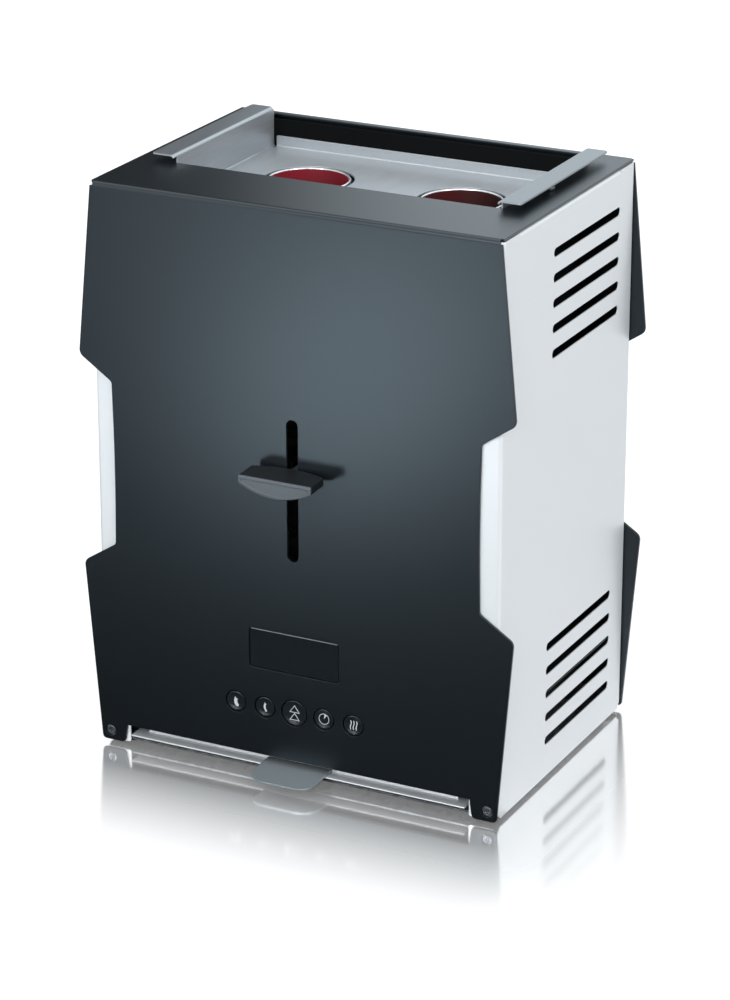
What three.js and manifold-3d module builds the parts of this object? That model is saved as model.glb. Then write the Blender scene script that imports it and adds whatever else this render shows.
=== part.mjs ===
// A free-standing hot dog toaster: two sausages stand upright in wire baskets inside round heating
// chambers. A lever on the front presses the baskets down, five buttons under a display set the
// programme, and a crumb tray slides out at the bottom.
// Millimetres, +Z up, the front faces -Y. The origin is on the floor, under the middle of the
// whole toaster. Inside the group, Y counts from the cover's front face and Z from the floor.

import * as THREE from 'three';
import { mergeVertices } from 'three/addons/utils/BufferGeometryUtils.js';
import Module from 'manifold-3d';

const wasm = await Module();
wasm.setup();

// Casing
const casingWidth = 235;
const casingDepth = 167;
const casingHeight = 317.5;
const standClearance = 2.5;
const coverSheet = 1.5;
const sideSheet = 1;
const innerSheet = 0.8;
const fitGap = 0.3;
const cutOverrun = 2;

// Outline of the cover's front and back walls, heights above the sheets' lower edge
const coverTopInset = 0.5;
const coverBendRadius = 2.5;
const bendReliefWidth = 1.6;
const upperWingReach = 8.6;
const upperWingHeight = 220;
const waistInset = 10.6;
const waistTopHeight = 207;
const waistBottomHeight = 115.5;
const waistBow = 1;
const lowerWingReach = 9;
const lowerWingHeight = 103;
const footTabReach = 0.5;
const footTabWidth = 15.5;
const trayNotchHeight = 10.5;
const trayNotchFlare = 1.5;
const wingCorner = 3;
const waistCorner = 1.5;
const tabCorner = 2.5;

// Opening in the top of the cover
const topOpeningInset = 23;
const topOpeningFront = 50;
const topOpeningBackMargin = 6;
const topOpeningCorner = 0.6;

// Side panels
const sideFlangeWidth = 16;
const sideBendRadius = 2;
const sideLedgeWidth = 19;
const sideLedgeInset = 18;
const sideFootCorner = 5;
const ventBackMargin = 20;
const ventHeight = 4.8;
const ventPitch = 13.5;
const ventsPerGroup = 5;
const ventFront = 62;
const upperVentDrop = 22.2;
const lowerVentRise = 20.8;

// Screws
const screwHeadRadius = 2.7;
const screwHeadHeight = 1.3;
const screwShankRadius = 1.5;
const screwLength = 8;
const screwClearance = 0.4;
const coverScrewInset = 4.7;
const coverScrewHeight = 5.5;
const topScrewEdge = 3;
const topScrewDepth = 91;
const topScrewHeadHeight = 2;
const recessDepth = 0.2;

// Base plate, feet and crumb tray
const baseLift = 1.2;
const baseFlangeHeight = 12;
const baseBackRise = 9;
const footRadius = 6;
const footStemRoom = 4.9;
const footInsetY = 14;
const footStemRadius = 2;
const footStemLength = 3;
const footEdge = 0.8;
const runnerSheet = 0.8;
const runnerLip = 6;
const trayNotchMargin = 2.5;
const trayBackClearance = 6.5;
const traySheet = 0.8;
const trayWallHeight = 5.4;
const trayLedgeHeight = 1.9;
const trayLedgeDepth = 7;
const trayStepHeight = 1.4;
const trayStepDepth = 6;
const trayStepHalfWidth = 93;
const trayFrontReach = 0.5;
const pullHalfWidth = 19;
const pullReach = 19.5;
const pullDrop = 2.3;
const pullCorner = 11.5;
const pullThickness = 1.2;

// Bun rack in the top opening
const rackSheet = 1;
const rackSideClearance = 0.5;
const rackDrop = 17;
const rackRise = 5;
const rackFlangeWidth = 12;
const rackFlangeSetback = 1;
const rackFlangeOverlap = 4;
const rackFlangeCorner = 2;
const rackBackRise = 6;
const rackBackGap = 4;
const rackEndRelief = 2;
const rackHoleClearance = 5;
const rackHoleDepthShare = 0.522;

// Heating chambers
const chamberPitch = 90;
const chamberRoom = 15.5;
const roofDrop = 3;
const roofHoleClearance = 2.5;
const roofOverhang = 3;
const floorHeight = 50;
const sideShieldGap = 5.2;
const lowerShieldGap = 0.8;
const lowerShieldRise = 1.5;
const backShieldShare = 0.28;
const crumbHoleLength = 30;
const crumbHoleWidth = 5;
const crumbHolePitch = 12;
const crumbHoles = 3;

// Heaters: rods in ceramic end caps
const heaterWallGap = 7;
const heaterRadius = 3.2;
const heaterCapRadius = 4;
const heaterCapLength = 9;
const heaterPinRadius = 1.6;
const heaterPinLength = 3;
const heaterAngles = [ 90, - 25, 205 ];

// Sausage baskets
const basketRadius = 19.5;
const basketWire = 2;
const basketBase = 119.6;
const basketTopDrop = 10.9;
const basketFloor = 1.6;
const basketWires = 8;
const basketHoopShares = [ 0.36, 0.7, 1 ];

// Carriage, guide rods and lever
const liftTravel = 25;
const pressTravel = 42;
const rodRadius = 3;
const rodSpacing = 64;
const rodSetback = 8;
const rodHeadRadius = 4.5;
const rodHeadHeight = 1.5;
const rodEnd = 2;
const runningClearance = 0.3;
const bracketSheet = 1.5;
const bracketEndMargin = 10;
const bracketSetback = 6;
const bracketFlange = 14;
const shieldSetback = 11;
const upperBracketShare = 0.5;
const lowerBracketHeight = 42;
const carriageSheet = 2;
const carriageBarMargin = 2;
const carriageBarHeight = 16;
const sleeveWall = 2.2;
const sleeveOverlap = 3;
const carriageArmWidth = 6;
const carriageArmHeight = 5;
const carriageArmEnd = 12;
const armSlotWidth = 10;
const armSlotMargin = 2;
const neckHalfWidth = 12;
const neckOverlap = 10;
const springShelfHalfWidth = 6;
const springShelfReach = 10;

// Lift spring
const springRadius = 3.6;
const springWire = 0.9;
const springCurls = 14;
const springStepsPerCurl = 8;
const springSides = 5;
const springSetback = 7;

// Latch magnet
const keeperHalfWidth = 10;
const keeperDepth = 10;
const keeperThickness = 3;
const magnetHalfWidth = 12;
const magnetDepth = 13;
const magnetCoilRadius = 5.6;
const magnetYokeThickness = 3;

// Lever slot, arm and knob
const leverSlotClearance = 0.9;
const leverSlotRoomAbove = 2.9;
const leverSlotRoomBelow = 1.4;
const leverRise = 54.6;
const leverArmWidth = 4.6;
const leverArmHeight = 7;
const leverFootHalfWidth = 9;
const leverFootThickness = 2;
const knobWidth = 42;
const knobProjection = 20;
const knobGap = 1.2;
const knobFrontDrop = 10;
const knobFrontEdge = 4.2;
const knobBackThickness = 4.6;
const knobBackBow = 4;
const knobTopRise = 0.7;
const knobArmCover = 13;
const knobTopAboveArm = 5.6;
const knobBossRadius = 5;

// Display and buttons
const windowHalfWidth = 26.5;
const windowRise = 22.1;
const windowHeight = 22.4;
const windowCorner = 1.5;
const lensRecess = 0.5;
const lensThickness = 3;
const moduleMargin = 3;
const moduleDepth = 7;
const housingSideMargin = 15;
const housingBottomMargin = 11;
const housingTopMargin = 7.5;
const housingWall = 2;
const housingDepth = 20;
const boardThickness = 1.6;
const boardInset = 1.4;
const switchHalfWidth = 3;
const switchHeight = 3.5;
const buttonPitch = 17.5;
const buttonHeight = 41;
const buttonRadius = 5.7;
const startButtonRadius = 7.2;
const buttonClearance = 0.5;
const buttonRecess = 0.2;
const buttonCapDepth = 6;
const buttonCollar = 1;
const buttonCollarDepth = 1;
const buttonStemRadius = 2.2;
const buttonTravel = 1.2;
const buttonCount = 5;

// Cord inlet and terminal block at the back
const glandRadius = 7;
const glandBore = 3.6;
const glandReach = 9;
const glandTaper = 1.6;
const glandGroove = 1.4;
const glandInside = 5;
const glandX = 78;
const glandHeight = 32;
const blockHalfWidth = 14;
const blockDepth = 11;
const blockHeight = 13;
const blockStep = 5;

// Places worked out from the sizes above
const sheetTop = casingHeight - coverSheet;
const sideHalfWidth = casingWidth / 2;
const innerHalfWidth = sideHalfWidth - sideSheet - fitGap;
const coverTopHalfWidth = sideHalfWidth - coverTopInset;
const upperWingHalfWidth = sideHalfWidth + upperWingReach;
const waistHalfWidth = sideHalfWidth - waistInset;
const lowerWingHalfWidth = sideHalfWidth + lowerWingReach;
const footTabHalfWidth = sideHalfWidth + footTabReach;
const trayNotchHalfWidth = footTabHalfWidth - footTabWidth;
const topOpeningHalfWidth = sideHalfWidth - topOpeningInset;
const ventLength = casingDepth - ventFront - ventBackMargin;
const coverScrewHalfSpacing = sideHalfWidth - coverScrewInset;
const topScrewHalfSpacing = sideHalfWidth - sideLedgeWidth + topScrewEdge;
const sideFront = coverSheet + fitGap;
const sideBack = casingDepth - coverSheet - fitGap;
const innerFront = sideFront + sideSheet + fitGap;
const innerBack = sideBack - sideSheet - fitGap;
const baseUnderside = standClearance + baseLift;
const baseTop = baseUnderside + sideSheet;
const runnerBottom = baseTop + fitGap;
const trayBottom = runnerBottom + runnerSheet + fitGap;
const trayLedgeTop = trayBottom + trayLedgeHeight;
const trayTop = trayBottom + trayWallHeight;
const trayHalfWidth = trayNotchHalfWidth - trayNotchMargin;
const terminalBack = innerBack - glandInside - glandGroove;
const terminalFront = terminalBack - blockDepth;
const trayDepth = terminalFront - trayBackClearance;
const footHalfSpacing = trayHalfWidth + fitGap + runnerSheet + footStemRoom;
const rackHalfWidth = topOpeningHalfWidth - rackSideClearance;
const rackFloorTop = casingHeight - rackDrop;
const rackFloorUnderside = rackFloorTop - rackSheet;
const rackBack = casingDepth - topOpeningBackMargin - rackBackGap;
const rackFront = topOpeningFront + fitGap;
const rackFlangeFront = topOpeningFront - rackFlangeOverlap;
const rackFlangeBack = rackBack - rackFlangeSetback;
const rackHoleRadius = basketRadius + rackHoleClearance;
const roofHoleRadius = basketRadius + roofHoleClearance;
const basketHeight = rackFloorTop - basketTopDrop - basketBase;
const chamberRadius = basketRadius + chamberRoom;
const chamberDepth = rackFront + rackHoleDepthShare * ( rackBack - rackFront );
const chamberBack = chamberDepth + chamberRadius + innerSheet;
const heaterOrbit = chamberRadius - heaterWallGap;
const backShieldDepth = chamberBack + backShieldShare * ( innerBack - chamberBack );
const sideShieldHalfSpacing = chamberPitch / 2 + chamberRadius + innerSheet + sideShieldGap;
const lowerShieldHalfSpacing = glandX + blockHalfWidth + lowerShieldGap;
const roofTop = rackFloorUnderside - roofDrop;
const roofUnderside = roofTop - innerSheet;
const floorTop = floorHeight + innerSheet;
const shieldBottom = baseUnderside + baseFlangeHeight + fitGap;
const bracketFront = housingDepth + bracketSetback;
const rodDepth = bracketFront + rodSetback;
const springDepth = rodDepth + springSetback;
const frontShieldDepth = springDepth + shieldSetback;
const bracketHalfWidth = rodSpacing / 2 + bracketEndMargin;
const carriageBarHalfLength = ( chamberPitch + carriageArmWidth ) / 2 + carriageBarMargin;
const carriageArmTop = basketBase - fitGap;
const carriageBottom = carriageArmTop - carriageArmHeight;
const carriageBarTop = carriageBottom + carriageBarHeight;
const armSlotBottom = carriageBottom - pressTravel - armSlotMargin;
const armSlotTop = carriageArmTop + liftTravel + armSlotMargin;
const carriageFront = rodDepth - carriageSheet / 2;
const carriageBack = rodDepth + carriageSheet / 2;
const sleeveRadius = rodRadius + runningClearance + sleeveWall;
const leverRestHeight = carriageArmTop + leverRise;
const leverSlotTop = leverRestHeight + liftTravel + leverArmHeight / 2 + leverSlotRoomAbove;
const leverSlotBottom = leverRestHeight - pressTravel - leverArmHeight / 2 - leverSlotRoomBelow;
const leverSlotWidth = leverArmWidth + 2 * leverSlotClearance;
const neckTop = leverRestHeight + neckOverlap;
const upperBracketHeight = neckTop + upperBracketShare * ( roofUnderside - neckTop );
const keeperBottom = carriageBottom - fitGap - keeperThickness;
const magnetBottom = lowerBracketHeight + bracketSheet + fitGap;
const magnetTop = keeperBottom - pressTravel - fitGap;
const shelfTop = carriageBarTop;
const bracketBack = frontShieldDepth - fitGap;
const windowBottom = buttonHeight + windowRise;
const windowTop = windowBottom + windowHeight;
const housingHalfWidth = ( buttonCount - 1 ) / 2 * buttonPitch + housingSideMargin;
const housingBottom = buttonHeight - housingBottomMargin;
const housingTop = windowTop + housingTopMargin;
const leverArmFront = - knobGap - knobArmCover;
const leverArmBack = carriageFront - fitGap;
const buttonStemEnd = housingDepth - boardInset - boardThickness - switchHeight - buttonTravel - fitGap;

// Segments on curves: large, middle and small rounds
const largeRound = 32;
const middleRound = 16;
const smallRound = 10;
const wireSides = 4;
const arcSteps = 4;

const finishes = {
	black: new THREE.MeshStandardMaterial( { color: 0x1b2127, roughness: 0.42, metalness: 0.2 } ),
	silver: new THREE.MeshStandardMaterial( { color: 0xd2d7da, roughness: 0.38, metalness: 0.35 } ),
	rack: new THREE.MeshStandardMaterial( { color: 0xb4babf, roughness: 0.35, metalness: 0.7 } ),
	steel: new THREE.MeshStandardMaterial( { color: 0x9ba1a6, roughness: 0.4, metalness: 0.85 } ),
	stainless: new THREE.MeshStandardMaterial( { color: 0xc9ced2, roughness: 0.25, metalness: 0.9 } ),
	wire: new THREE.MeshStandardMaterial( { color: 0xd6d9dc, roughness: 0.15, metalness: 1 } ),
	blackPlastic: new THREE.MeshStandardMaterial( { color: 0x15181b, roughness: 0.45, metalness: 0 } ),
	button: new THREE.MeshStandardMaterial( { color: 0x11151a, roughness: 0.2, metalness: 0 } ),
	lens: new THREE.MeshStandardMaterial( { color: 0x0c1014, roughness: 0.08, metalness: 0 } ),
	rubber: new THREE.MeshStandardMaterial( { color: 0x1c1c1c, roughness: 0.85, metalness: 0 } ),
	board: new THREE.MeshStandardMaterial( { color: 0x1f5a38, roughness: 0.5, metalness: 0 } ),
	heater: new THREE.MeshStandardMaterial( { color: 0x8c2a1c, roughness: 0.3, metalness: 0 } ),
	magnet: new THREE.MeshStandardMaterial( { color: 0x8a4b27, roughness: 0.5, metalness: 0.5 } )
};

// A solid for cutting and joining, from a closed geometry
function solid( shape ) {

	if ( shape instanceof wasm.Manifold ) return shape;
	const plain = shape.clone();
	plain.deleteAttribute( 'normal' );
	plain.deleteAttribute( 'uv' );
	const merged = mergeVertices( plain );
	return new wasm.Manifold( new wasm.Mesh( {
		numProp: 3,
		vertProperties: new Float32Array( merged.attributes.position.array ),
		triVerts: new Uint32Array( merged.index.array )
	} ) );

}

function join( ...shapes ) {

	return shapes.map( solid ).reduce( ( whole, next ) => whole.add( next ) );

}

function cut( shape, ...tools ) {

	return tools.map( solid ).reduce( ( rest, tool ) => rest.subtract( tool ), solid( shape ) );

}

function common( first, second ) {

	return solid( first ).intersect( solid( second ) );

}

function geometryOf( shape ) {

	if ( ! ( shape instanceof wasm.Manifold ) ) return shape;
	const mesh = shape.getMesh();
	const geometry = new THREE.BufferGeometry();
	geometry.setAttribute( 'position', new THREE.BufferAttribute( mesh.vertProperties, 3 ) );
	geometry.setIndex( new THREE.BufferAttribute( mesh.triVerts, 1 ) );
	const flat = geometry.toNonIndexed();
	flat.computeVertexNormals();
	return flat;

}

// An outline through corners [ x, y, ease ], each eased over its own distance
function outline( corners ) {

	const shape = new THREE.Shape();
	corners.forEach( ( [ x, y, ease = 0 ], i ) => {

		const corner = new THREE.Vector2( x, y );
		const before = new THREE.Vector2( ...corners.at( i - 1 ).slice( 0, 2 ) );
		const after = new THREE.Vector2( ...corners[ ( i + 1 ) % corners.length ].slice( 0, 2 ) );
		const start = before.sub( corner ).setLength( ease ).add( corner );
		const end = after.sub( corner ).setLength( ease ).add( corner );
		if ( i === 0 ) shape.moveTo( start.x, start.y );
		else shape.lineTo( start.x, start.y );
		if ( ease > 0 ) shape.quadraticCurveTo( x, y, end.x, end.y );

	} );
	shape.closePath();
	return shape;

}

function rectangle( left, right, bottom, top, ease = 0 ) {

	return outline( [
		[ left, bottom, ease ],
		[ right, bottom, ease ],
		[ right, top, ease ],
		[ left, top, ease ]
	] );

}

// A slot with round ends, between two points on its centre line
function slot( fromX, fromY, toX, toY, width ) {

	const radius = width / 2;
	const angle = Math.atan2( toY - fromY, toX - fromX );
	const shape = new THREE.Shape();
	shape.absarc( toX, toY, radius, angle - Math.PI / 2, angle + Math.PI / 2, false );
	shape.absarc( fromX, fromY, radius, angle + Math.PI / 2, angle + Math.PI * 3 / 2, false );
	shape.closePath();
	return shape;

}

function extrude( shape, depth, curveSegments = arcSteps ) {

	return new THREE.ExtrudeGeometry( shape, { depth, bevelEnabled: false, curveSegments } );

}

// Sheets by the plane of their outline: seen from the front, from the side and from above
function frontSheet( shape, from, thickness ) {

	return extrude( shape, thickness ).rotateX( Math.PI / 2 ).translate( 0, from + thickness, 0 );

}

function sideways( shape, from, thickness ) {

	const turn = new THREE.Matrix4().makeBasis(
		new THREE.Vector3( 0, 1, 0 ),
		new THREE.Vector3( 0, 0, 1 ),
		new THREE.Vector3( 1, 0, 0 )
	);
	return extrude( shape, thickness ).applyMatrix4( turn ).translate( from, 0, 0 );

}

function level( shape, from, thickness ) {

	return extrude( shape, thickness ).translate( 0, 0, from );

}

function block( left, right, front, back, bottom, top ) {

	const geometry = new THREE.BoxGeometry( right - left, back - front, top - bottom );
	return geometry.translate( ( left + right ) / 2, ( front + back ) / 2, ( bottom + top ) / 2 );

}

function upright( radius, bottom, top, x, y, segments = middleRound ) {

	const geometry = new THREE.CylinderGeometry( radius, radius, top - bottom, segments );
	return geometry.rotateX( Math.PI / 2 ).translate( x, y, ( bottom + top ) / 2 );

}

// A round bar along Y
function bar( radius, front, back, x, z, segments = middleRound ) {

	const geometry = new THREE.CylinderGeometry( radius, radius, back - front, segments );
	return geometry.translate( x, ( front + back ) / 2, z );

}

// A body turned about the vertical, from [ radius, height ] points
function turned( profile, segments = middleRound ) {

	const points = profile.map( ( [ radius, height ] ) => new THREE.Vector2( radius, height ) );
	return new THREE.LatheGeometry( points, segments ).rotateX( Math.PI / 2 );

}

function mirrored( shape ) {

	return solid( shape ).mirror( [ 1, 0, 0 ] );

}

const toaster = new THREE.Group();
toaster.position.y = - ( casingDepth + glandReach - knobProjection ) / 2;

function piece( name, shape, material ) {

	const mesh = new THREE.Mesh( geometryOf( shape ), material );
	mesh.name = name;
	toaster.add( mesh );
	return mesh;

}

// Left is -1 and right is +1
const sides = { left: - 1, right: 1 };

// Outline of the front and back walls, closed above at the bend
function wallOutline() {

	const right = [
		[ coverTopHalfWidth, casingHeight - coverBendRadius ],
		[ upperWingHalfWidth, standClearance + upperWingHeight, wingCorner ],
		[ waistHalfWidth, standClearance + waistTopHeight, waistCorner ],
		[
			waistHalfWidth - waistBow,
			standClearance + ( waistTopHeight + waistBottomHeight ) / 2,
			( waistTopHeight - waistBottomHeight ) / 3
		],
		[ waistHalfWidth, standClearance + waistBottomHeight, waistCorner ],
		[ lowerWingHalfWidth, standClearance + lowerWingHeight, wingCorner ],
		[ footTabHalfWidth, standClearance, tabCorner ],
		[ trayNotchHalfWidth + trayNotchFlare, standClearance, tabCorner ],
		[ trayNotchHalfWidth, standClearance + trayNotchHeight ]
	];
	const left = right.map( ( [ x, z, ease ] ) => [ - x, z, ease ] ).reverse();
	return outline( [ ...right, ...left ] );

}

// Section of the top and its two bends, as seen from the right
function topSection( overlap ) {

	const inner = coverBendRadius - coverSheet;
	const bottom = casingHeight - coverBendRadius - overlap;
	const shape = new THREE.Shape();
	shape.moveTo( 0, bottom );
	shape.lineTo( coverSheet, bottom );
	shape.absarc( coverBendRadius, casingHeight - coverBendRadius, inner, Math.PI, Math.PI / 2, true );
	shape.absarc( casingDepth - coverBendRadius, casingHeight - coverBendRadius, inner, Math.PI / 2, 0, true );
	shape.lineTo( casingDepth - coverSheet, bottom );
	shape.lineTo( casingDepth, bottom );
	shape.absarc( casingDepth - coverBendRadius, casingHeight - coverBendRadius, coverBendRadius, 0, Math.PI / 2, false );
	shape.absarc( coverBendRadius, casingHeight - coverBendRadius, coverBendRadius, Math.PI / 2, Math.PI, false );
	shape.closePath();
	return shape;

}

const buttons = Array.from( { length: buttonCount }, ( _, i ) => {

	const middle = ( buttonCount - 1 ) / 2;
	return {
		x: ( i - middle ) * buttonPitch,
		radius: i === middle ? startButtonRadius : buttonRadius
	};

} );

// The black cover: front, top and back in one bent sheet
function cover() {

	const walls = [ 0, casingDepth - coverSheet ].map( ( face ) => frontSheet( wallOutline(), face, coverSheet ) );
	const top = sideways( topSection( waistCorner ), - coverTopHalfWidth, 2 * coverTopHalfWidth );
	const opening = level(
		rectangle(
			- topOpeningHalfWidth,
			topOpeningHalfWidth,
			topOpeningFront,
			casingDepth - topOpeningBackMargin,
			topOpeningCorner
		),
		sheetTop - cutOverrun,
		coverSheet + 2 * cutOverrun
	);
	const through = [ - cutOverrun, coverSheet + 2 * cutOverrun ];
	const leverSlot = slot(
		0,
		leverSlotBottom + leverSlotWidth / 2,
		0,
		leverSlotTop - leverSlotWidth / 2,
		leverSlotWidth
	);
	const tools = [
		opening,
		frontSheet( leverSlot, ...through ),
		frontSheet(
			rectangle( - windowHalfWidth, windowHalfWidth, windowBottom, windowTop, windowCorner ),
			...through
		),
		...buttons.map( ( { x, radius } ) =>
			bar( radius + buttonClearance, - cutOverrun, coverSheet + cutOverrun, x, buttonHeight ) ),
		bar(
			glandRadius - glandGroove + fitGap,
			casingDepth - coverSheet - cutOverrun,
			casingDepth + cutOverrun,
			glandX,
			glandHeight
		)
	];
	for ( const side of Object.values( sides ) ) {

		const screwX = side * coverScrewHalfSpacing;
		tools.push( bar(
			screwHeadRadius + screwClearance,
			- cutOverrun,
			casingDepth + cutOverrun,
			screwX,
			standClearance + coverScrewHeight,
			smallRound
		) );
		tools.push( upright(
			screwShankRadius + screwClearance,
			sheetTop - cutOverrun,
			casingHeight + cutOverrun,
			side * topScrewHalfSpacing,
			topScrewDepth,
			smallRound
		) );
		const reliefInner = side * ( coverTopHalfWidth - bendReliefWidth );
		const reliefOuter = side * ( coverTopHalfWidth + cutOverrun );
		for ( const [ front, back ] of [
			[ - cutOverrun, coverBendRadius ],
			[ casingDepth - coverBendRadius, casingDepth + cutOverrun ]
		] ) {

			tools.push( block(
				Math.min( reliefInner, reliefOuter ),
				Math.max( reliefInner, reliefOuter ),
				front,
				back,
				casingHeight - coverBendRadius,
				casingHeight + cutOverrun
			) );

		}

	}

	return cut( join( ...walls, top ), ...tools );

}

// The right side panel: a C of light sheet with a ledge under the top and two groups of vents
function sidePanel() {

	const top = sheetTop - fitGap;
	const inner = sideHalfWidth - sideSheet;
	const flangeEdge = sideHalfWidth - sideFlangeWidth;
	const innerBend = sideBendRadius - sideSheet;
	const section = outline( [
		[ flangeEdge, sideFront ],
		[ sideHalfWidth, sideFront, sideBendRadius ],
		[ sideHalfWidth, sideBack, sideBendRadius ],
		[ flangeEdge, sideBack ],
		[ flangeEdge, sideBack - sideSheet ],
		[ inner, sideBack - sideSheet, innerBend ],
		[ inner, sideFront + sideSheet, innerBend ],
		[ flangeEdge, sideFront + sideSheet ]
	] );
	const wall = level( section, standClearance, top - standClearance );
	const ledge = block(
		sideHalfWidth - sideLedgeWidth,
		sideHalfWidth - sideSheet / 2,
		sideFront + sideLedgeInset,
		sideBack - sideLedgeInset,
		top - sideSheet,
		top
	);
	const tools = [];
	const ventRadius = ventHeight / 2;
	for ( let i = 0; i < ventsPerGroup; i ++ ) {

		const heights = [
			sheetTop - upperVentDrop - i * ventPitch,
			standClearance + lowerVentRise + i * ventPitch
		];
		for ( const height of heights ) {

			const vent = slot(
				ventFront + ventRadius,
				height,
				ventFront + ventLength - ventRadius,
				height,
				ventHeight
			);
			tools.push( sideways( vent, inner - cutOverrun, sideSheet + 2 * cutOverrun ) );

		}

	}

	for ( const [ y, inward ] of [ [ sideFront, 1 ], [ sideBack, - 1 ] ] ) {

		const cornerShape = outline( [
			[ y - inward * cutOverrun, standClearance - cutOverrun ],
			[ y + inward * sideFootCorner, standClearance - cutOverrun ],
			[ y + inward * sideFootCorner, standClearance ],
			[ y + inward * sideBendRadius, standClearance + sideFootCorner / 2 ],
			[ y, standClearance + sideFootCorner ],
			[ y - inward * cutOverrun, standClearance + sideFootCorner ]
		] );
		tools.push( sideways( cornerShape, inner - cutOverrun, sideSheet + 2 * cutOverrun ) );

	}

	tools.push( bar(
		screwShankRadius + screwClearance,
		sideFront - cutOverrun,
		sideBack + cutOverrun,
		coverScrewHalfSpacing,
		standClearance + coverScrewHeight,
		smallRound
	) );
	tools.push( upright(
		screwShankRadius + screwClearance,
		top - sideSheet - cutOverrun,
		top + cutOverrun,
		topScrewHalfSpacing,
		topScrewDepth,
		smallRound
	) );
	return cut( join( wall, ledge ), ...tools );

}

// A pan-head screw along -Z from its seat, with a cross recess
function screw( headHeight ) {

	const shank = turned( [
		[ 0, - screwLength ],
		[ screwShankRadius, - screwLength + screwShankRadius ],
		[ screwShankRadius, 0 ],
		[ screwHeadRadius, 0 ],
		[ screwHeadRadius, headHeight / 2 ],
		[ screwHeadRadius * 3 / 4, headHeight ],
		[ 0, headHeight ]
	], smallRound );
	const slit = screwShankRadius / 4;
	const arm = screwHeadRadius / 2;
	const cross = join(
		block( - slit, slit, - arm, arm, headHeight / 2, headHeight + cutOverrun ),
		block( - arm, arm, - slit, slit, headHeight / 2, headHeight + cutOverrun )
	);
	return geometryOf( cut( shank, cross ) );

}

function addScrews() {

	for ( const [ name, side ] of Object.entries( sides ) ) {

		const front = piece( `front_screw_${ name }`, screw( screwHeadHeight ), finishes.steel );
		front.rotation.x = Math.PI / 2;
		front.position.set(
			side * coverScrewHalfSpacing,
			recessDepth + screwHeadHeight,
			standClearance + coverScrewHeight
		);
		const back = piece( `back_screw_${ name }`, screw( screwHeadHeight ), finishes.steel );
		back.rotation.x = - Math.PI / 2;
		back.position.set(
			side * coverScrewHalfSpacing,
			casingDepth - recessDepth - screwHeadHeight,
			standClearance + coverScrewHeight
		);
		const top = piece( `top_screw_${ name }`, screw( topScrewHeadHeight ), finishes.steel );
		top.position.set( side * topScrewHalfSpacing, topScrewDepth, casingHeight + fitGap );

	}

}

// Base plate with its two sides and its back turned up
function basePlate() {

	const section = outline( [
		[ - innerHalfWidth, baseUnderside ],
		[ innerHalfWidth, baseUnderside ],
		[ innerHalfWidth, baseUnderside + baseFlangeHeight ],
		[ innerHalfWidth - sideSheet, baseUnderside + baseFlangeHeight ],
		[ innerHalfWidth - sideSheet, baseTop ],
		[ - innerHalfWidth + sideSheet, baseTop ],
		[ - innerHalfWidth + sideSheet, baseUnderside + baseFlangeHeight ],
		[ - innerHalfWidth, baseUnderside + baseFlangeHeight ]
	] );
	const backFlange = block(
		- innerHalfWidth,
		innerHalfWidth,
		innerBack - sideSheet,
		innerBack,
		baseUnderside,
		baseUnderside + baseBackRise
	);
	const plate = join( frontSheet( section, innerFront, innerBack - innerFront ), backFlange );
	const holes = footPlaces().map( ( { x, y } ) => upright(
		footStemRadius + fitGap,
		baseUnderside - cutOverrun,
		baseTop + cutOverrun,
		x,
		y,
		smallRound
	) );
	const screwTunnels = Object.values( sides ).map( ( side ) => block(
		side * coverScrewHalfSpacing - screwHeadRadius - screwClearance,
		side * coverScrewHalfSpacing + screwHeadRadius + screwClearance,
		innerFront - cutOverrun,
		innerFront + screwLength,
		baseUnderside - cutOverrun,
		baseUnderside + baseFlangeHeight + cutOverrun
	) );
	const backTunnels = Object.values( sides ).map( ( side ) => block(
		side * coverScrewHalfSpacing - screwHeadRadius - screwClearance,
		side * coverScrewHalfSpacing + screwHeadRadius + screwClearance,
		innerBack - screwLength,
		innerBack + cutOverrun,
		baseUnderside - cutOverrun,
		baseUnderside + baseFlangeHeight + cutOverrun
	) );
	return cut( plate, ...holes, ...screwTunnels, ...backTunnels );

}

function footPlaces() {

	const x = footHalfSpacing;
	return [
		{ name: 'front_left', x: - x, y: footInsetY },
		{ name: 'front_right', x, y: footInsetY },
		{ name: 'back_left', x: - x, y: casingDepth - footInsetY },
		{ name: 'back_right', x, y: casingDepth - footInsetY }
	];

}

function foot() {

	const padTop = baseUnderside - fitGap;
	return turned( [
		[ 0, 0 ],
		[ footRadius - footEdge, 0 ],
		[ footRadius, footEdge ],
		[ footRadius, padTop ],
		[ footStemRadius, padTop ],
		[ footStemRadius, padTop + footStemLength ],
		[ 0, padTop + footStemLength ]
	] );

}

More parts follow.
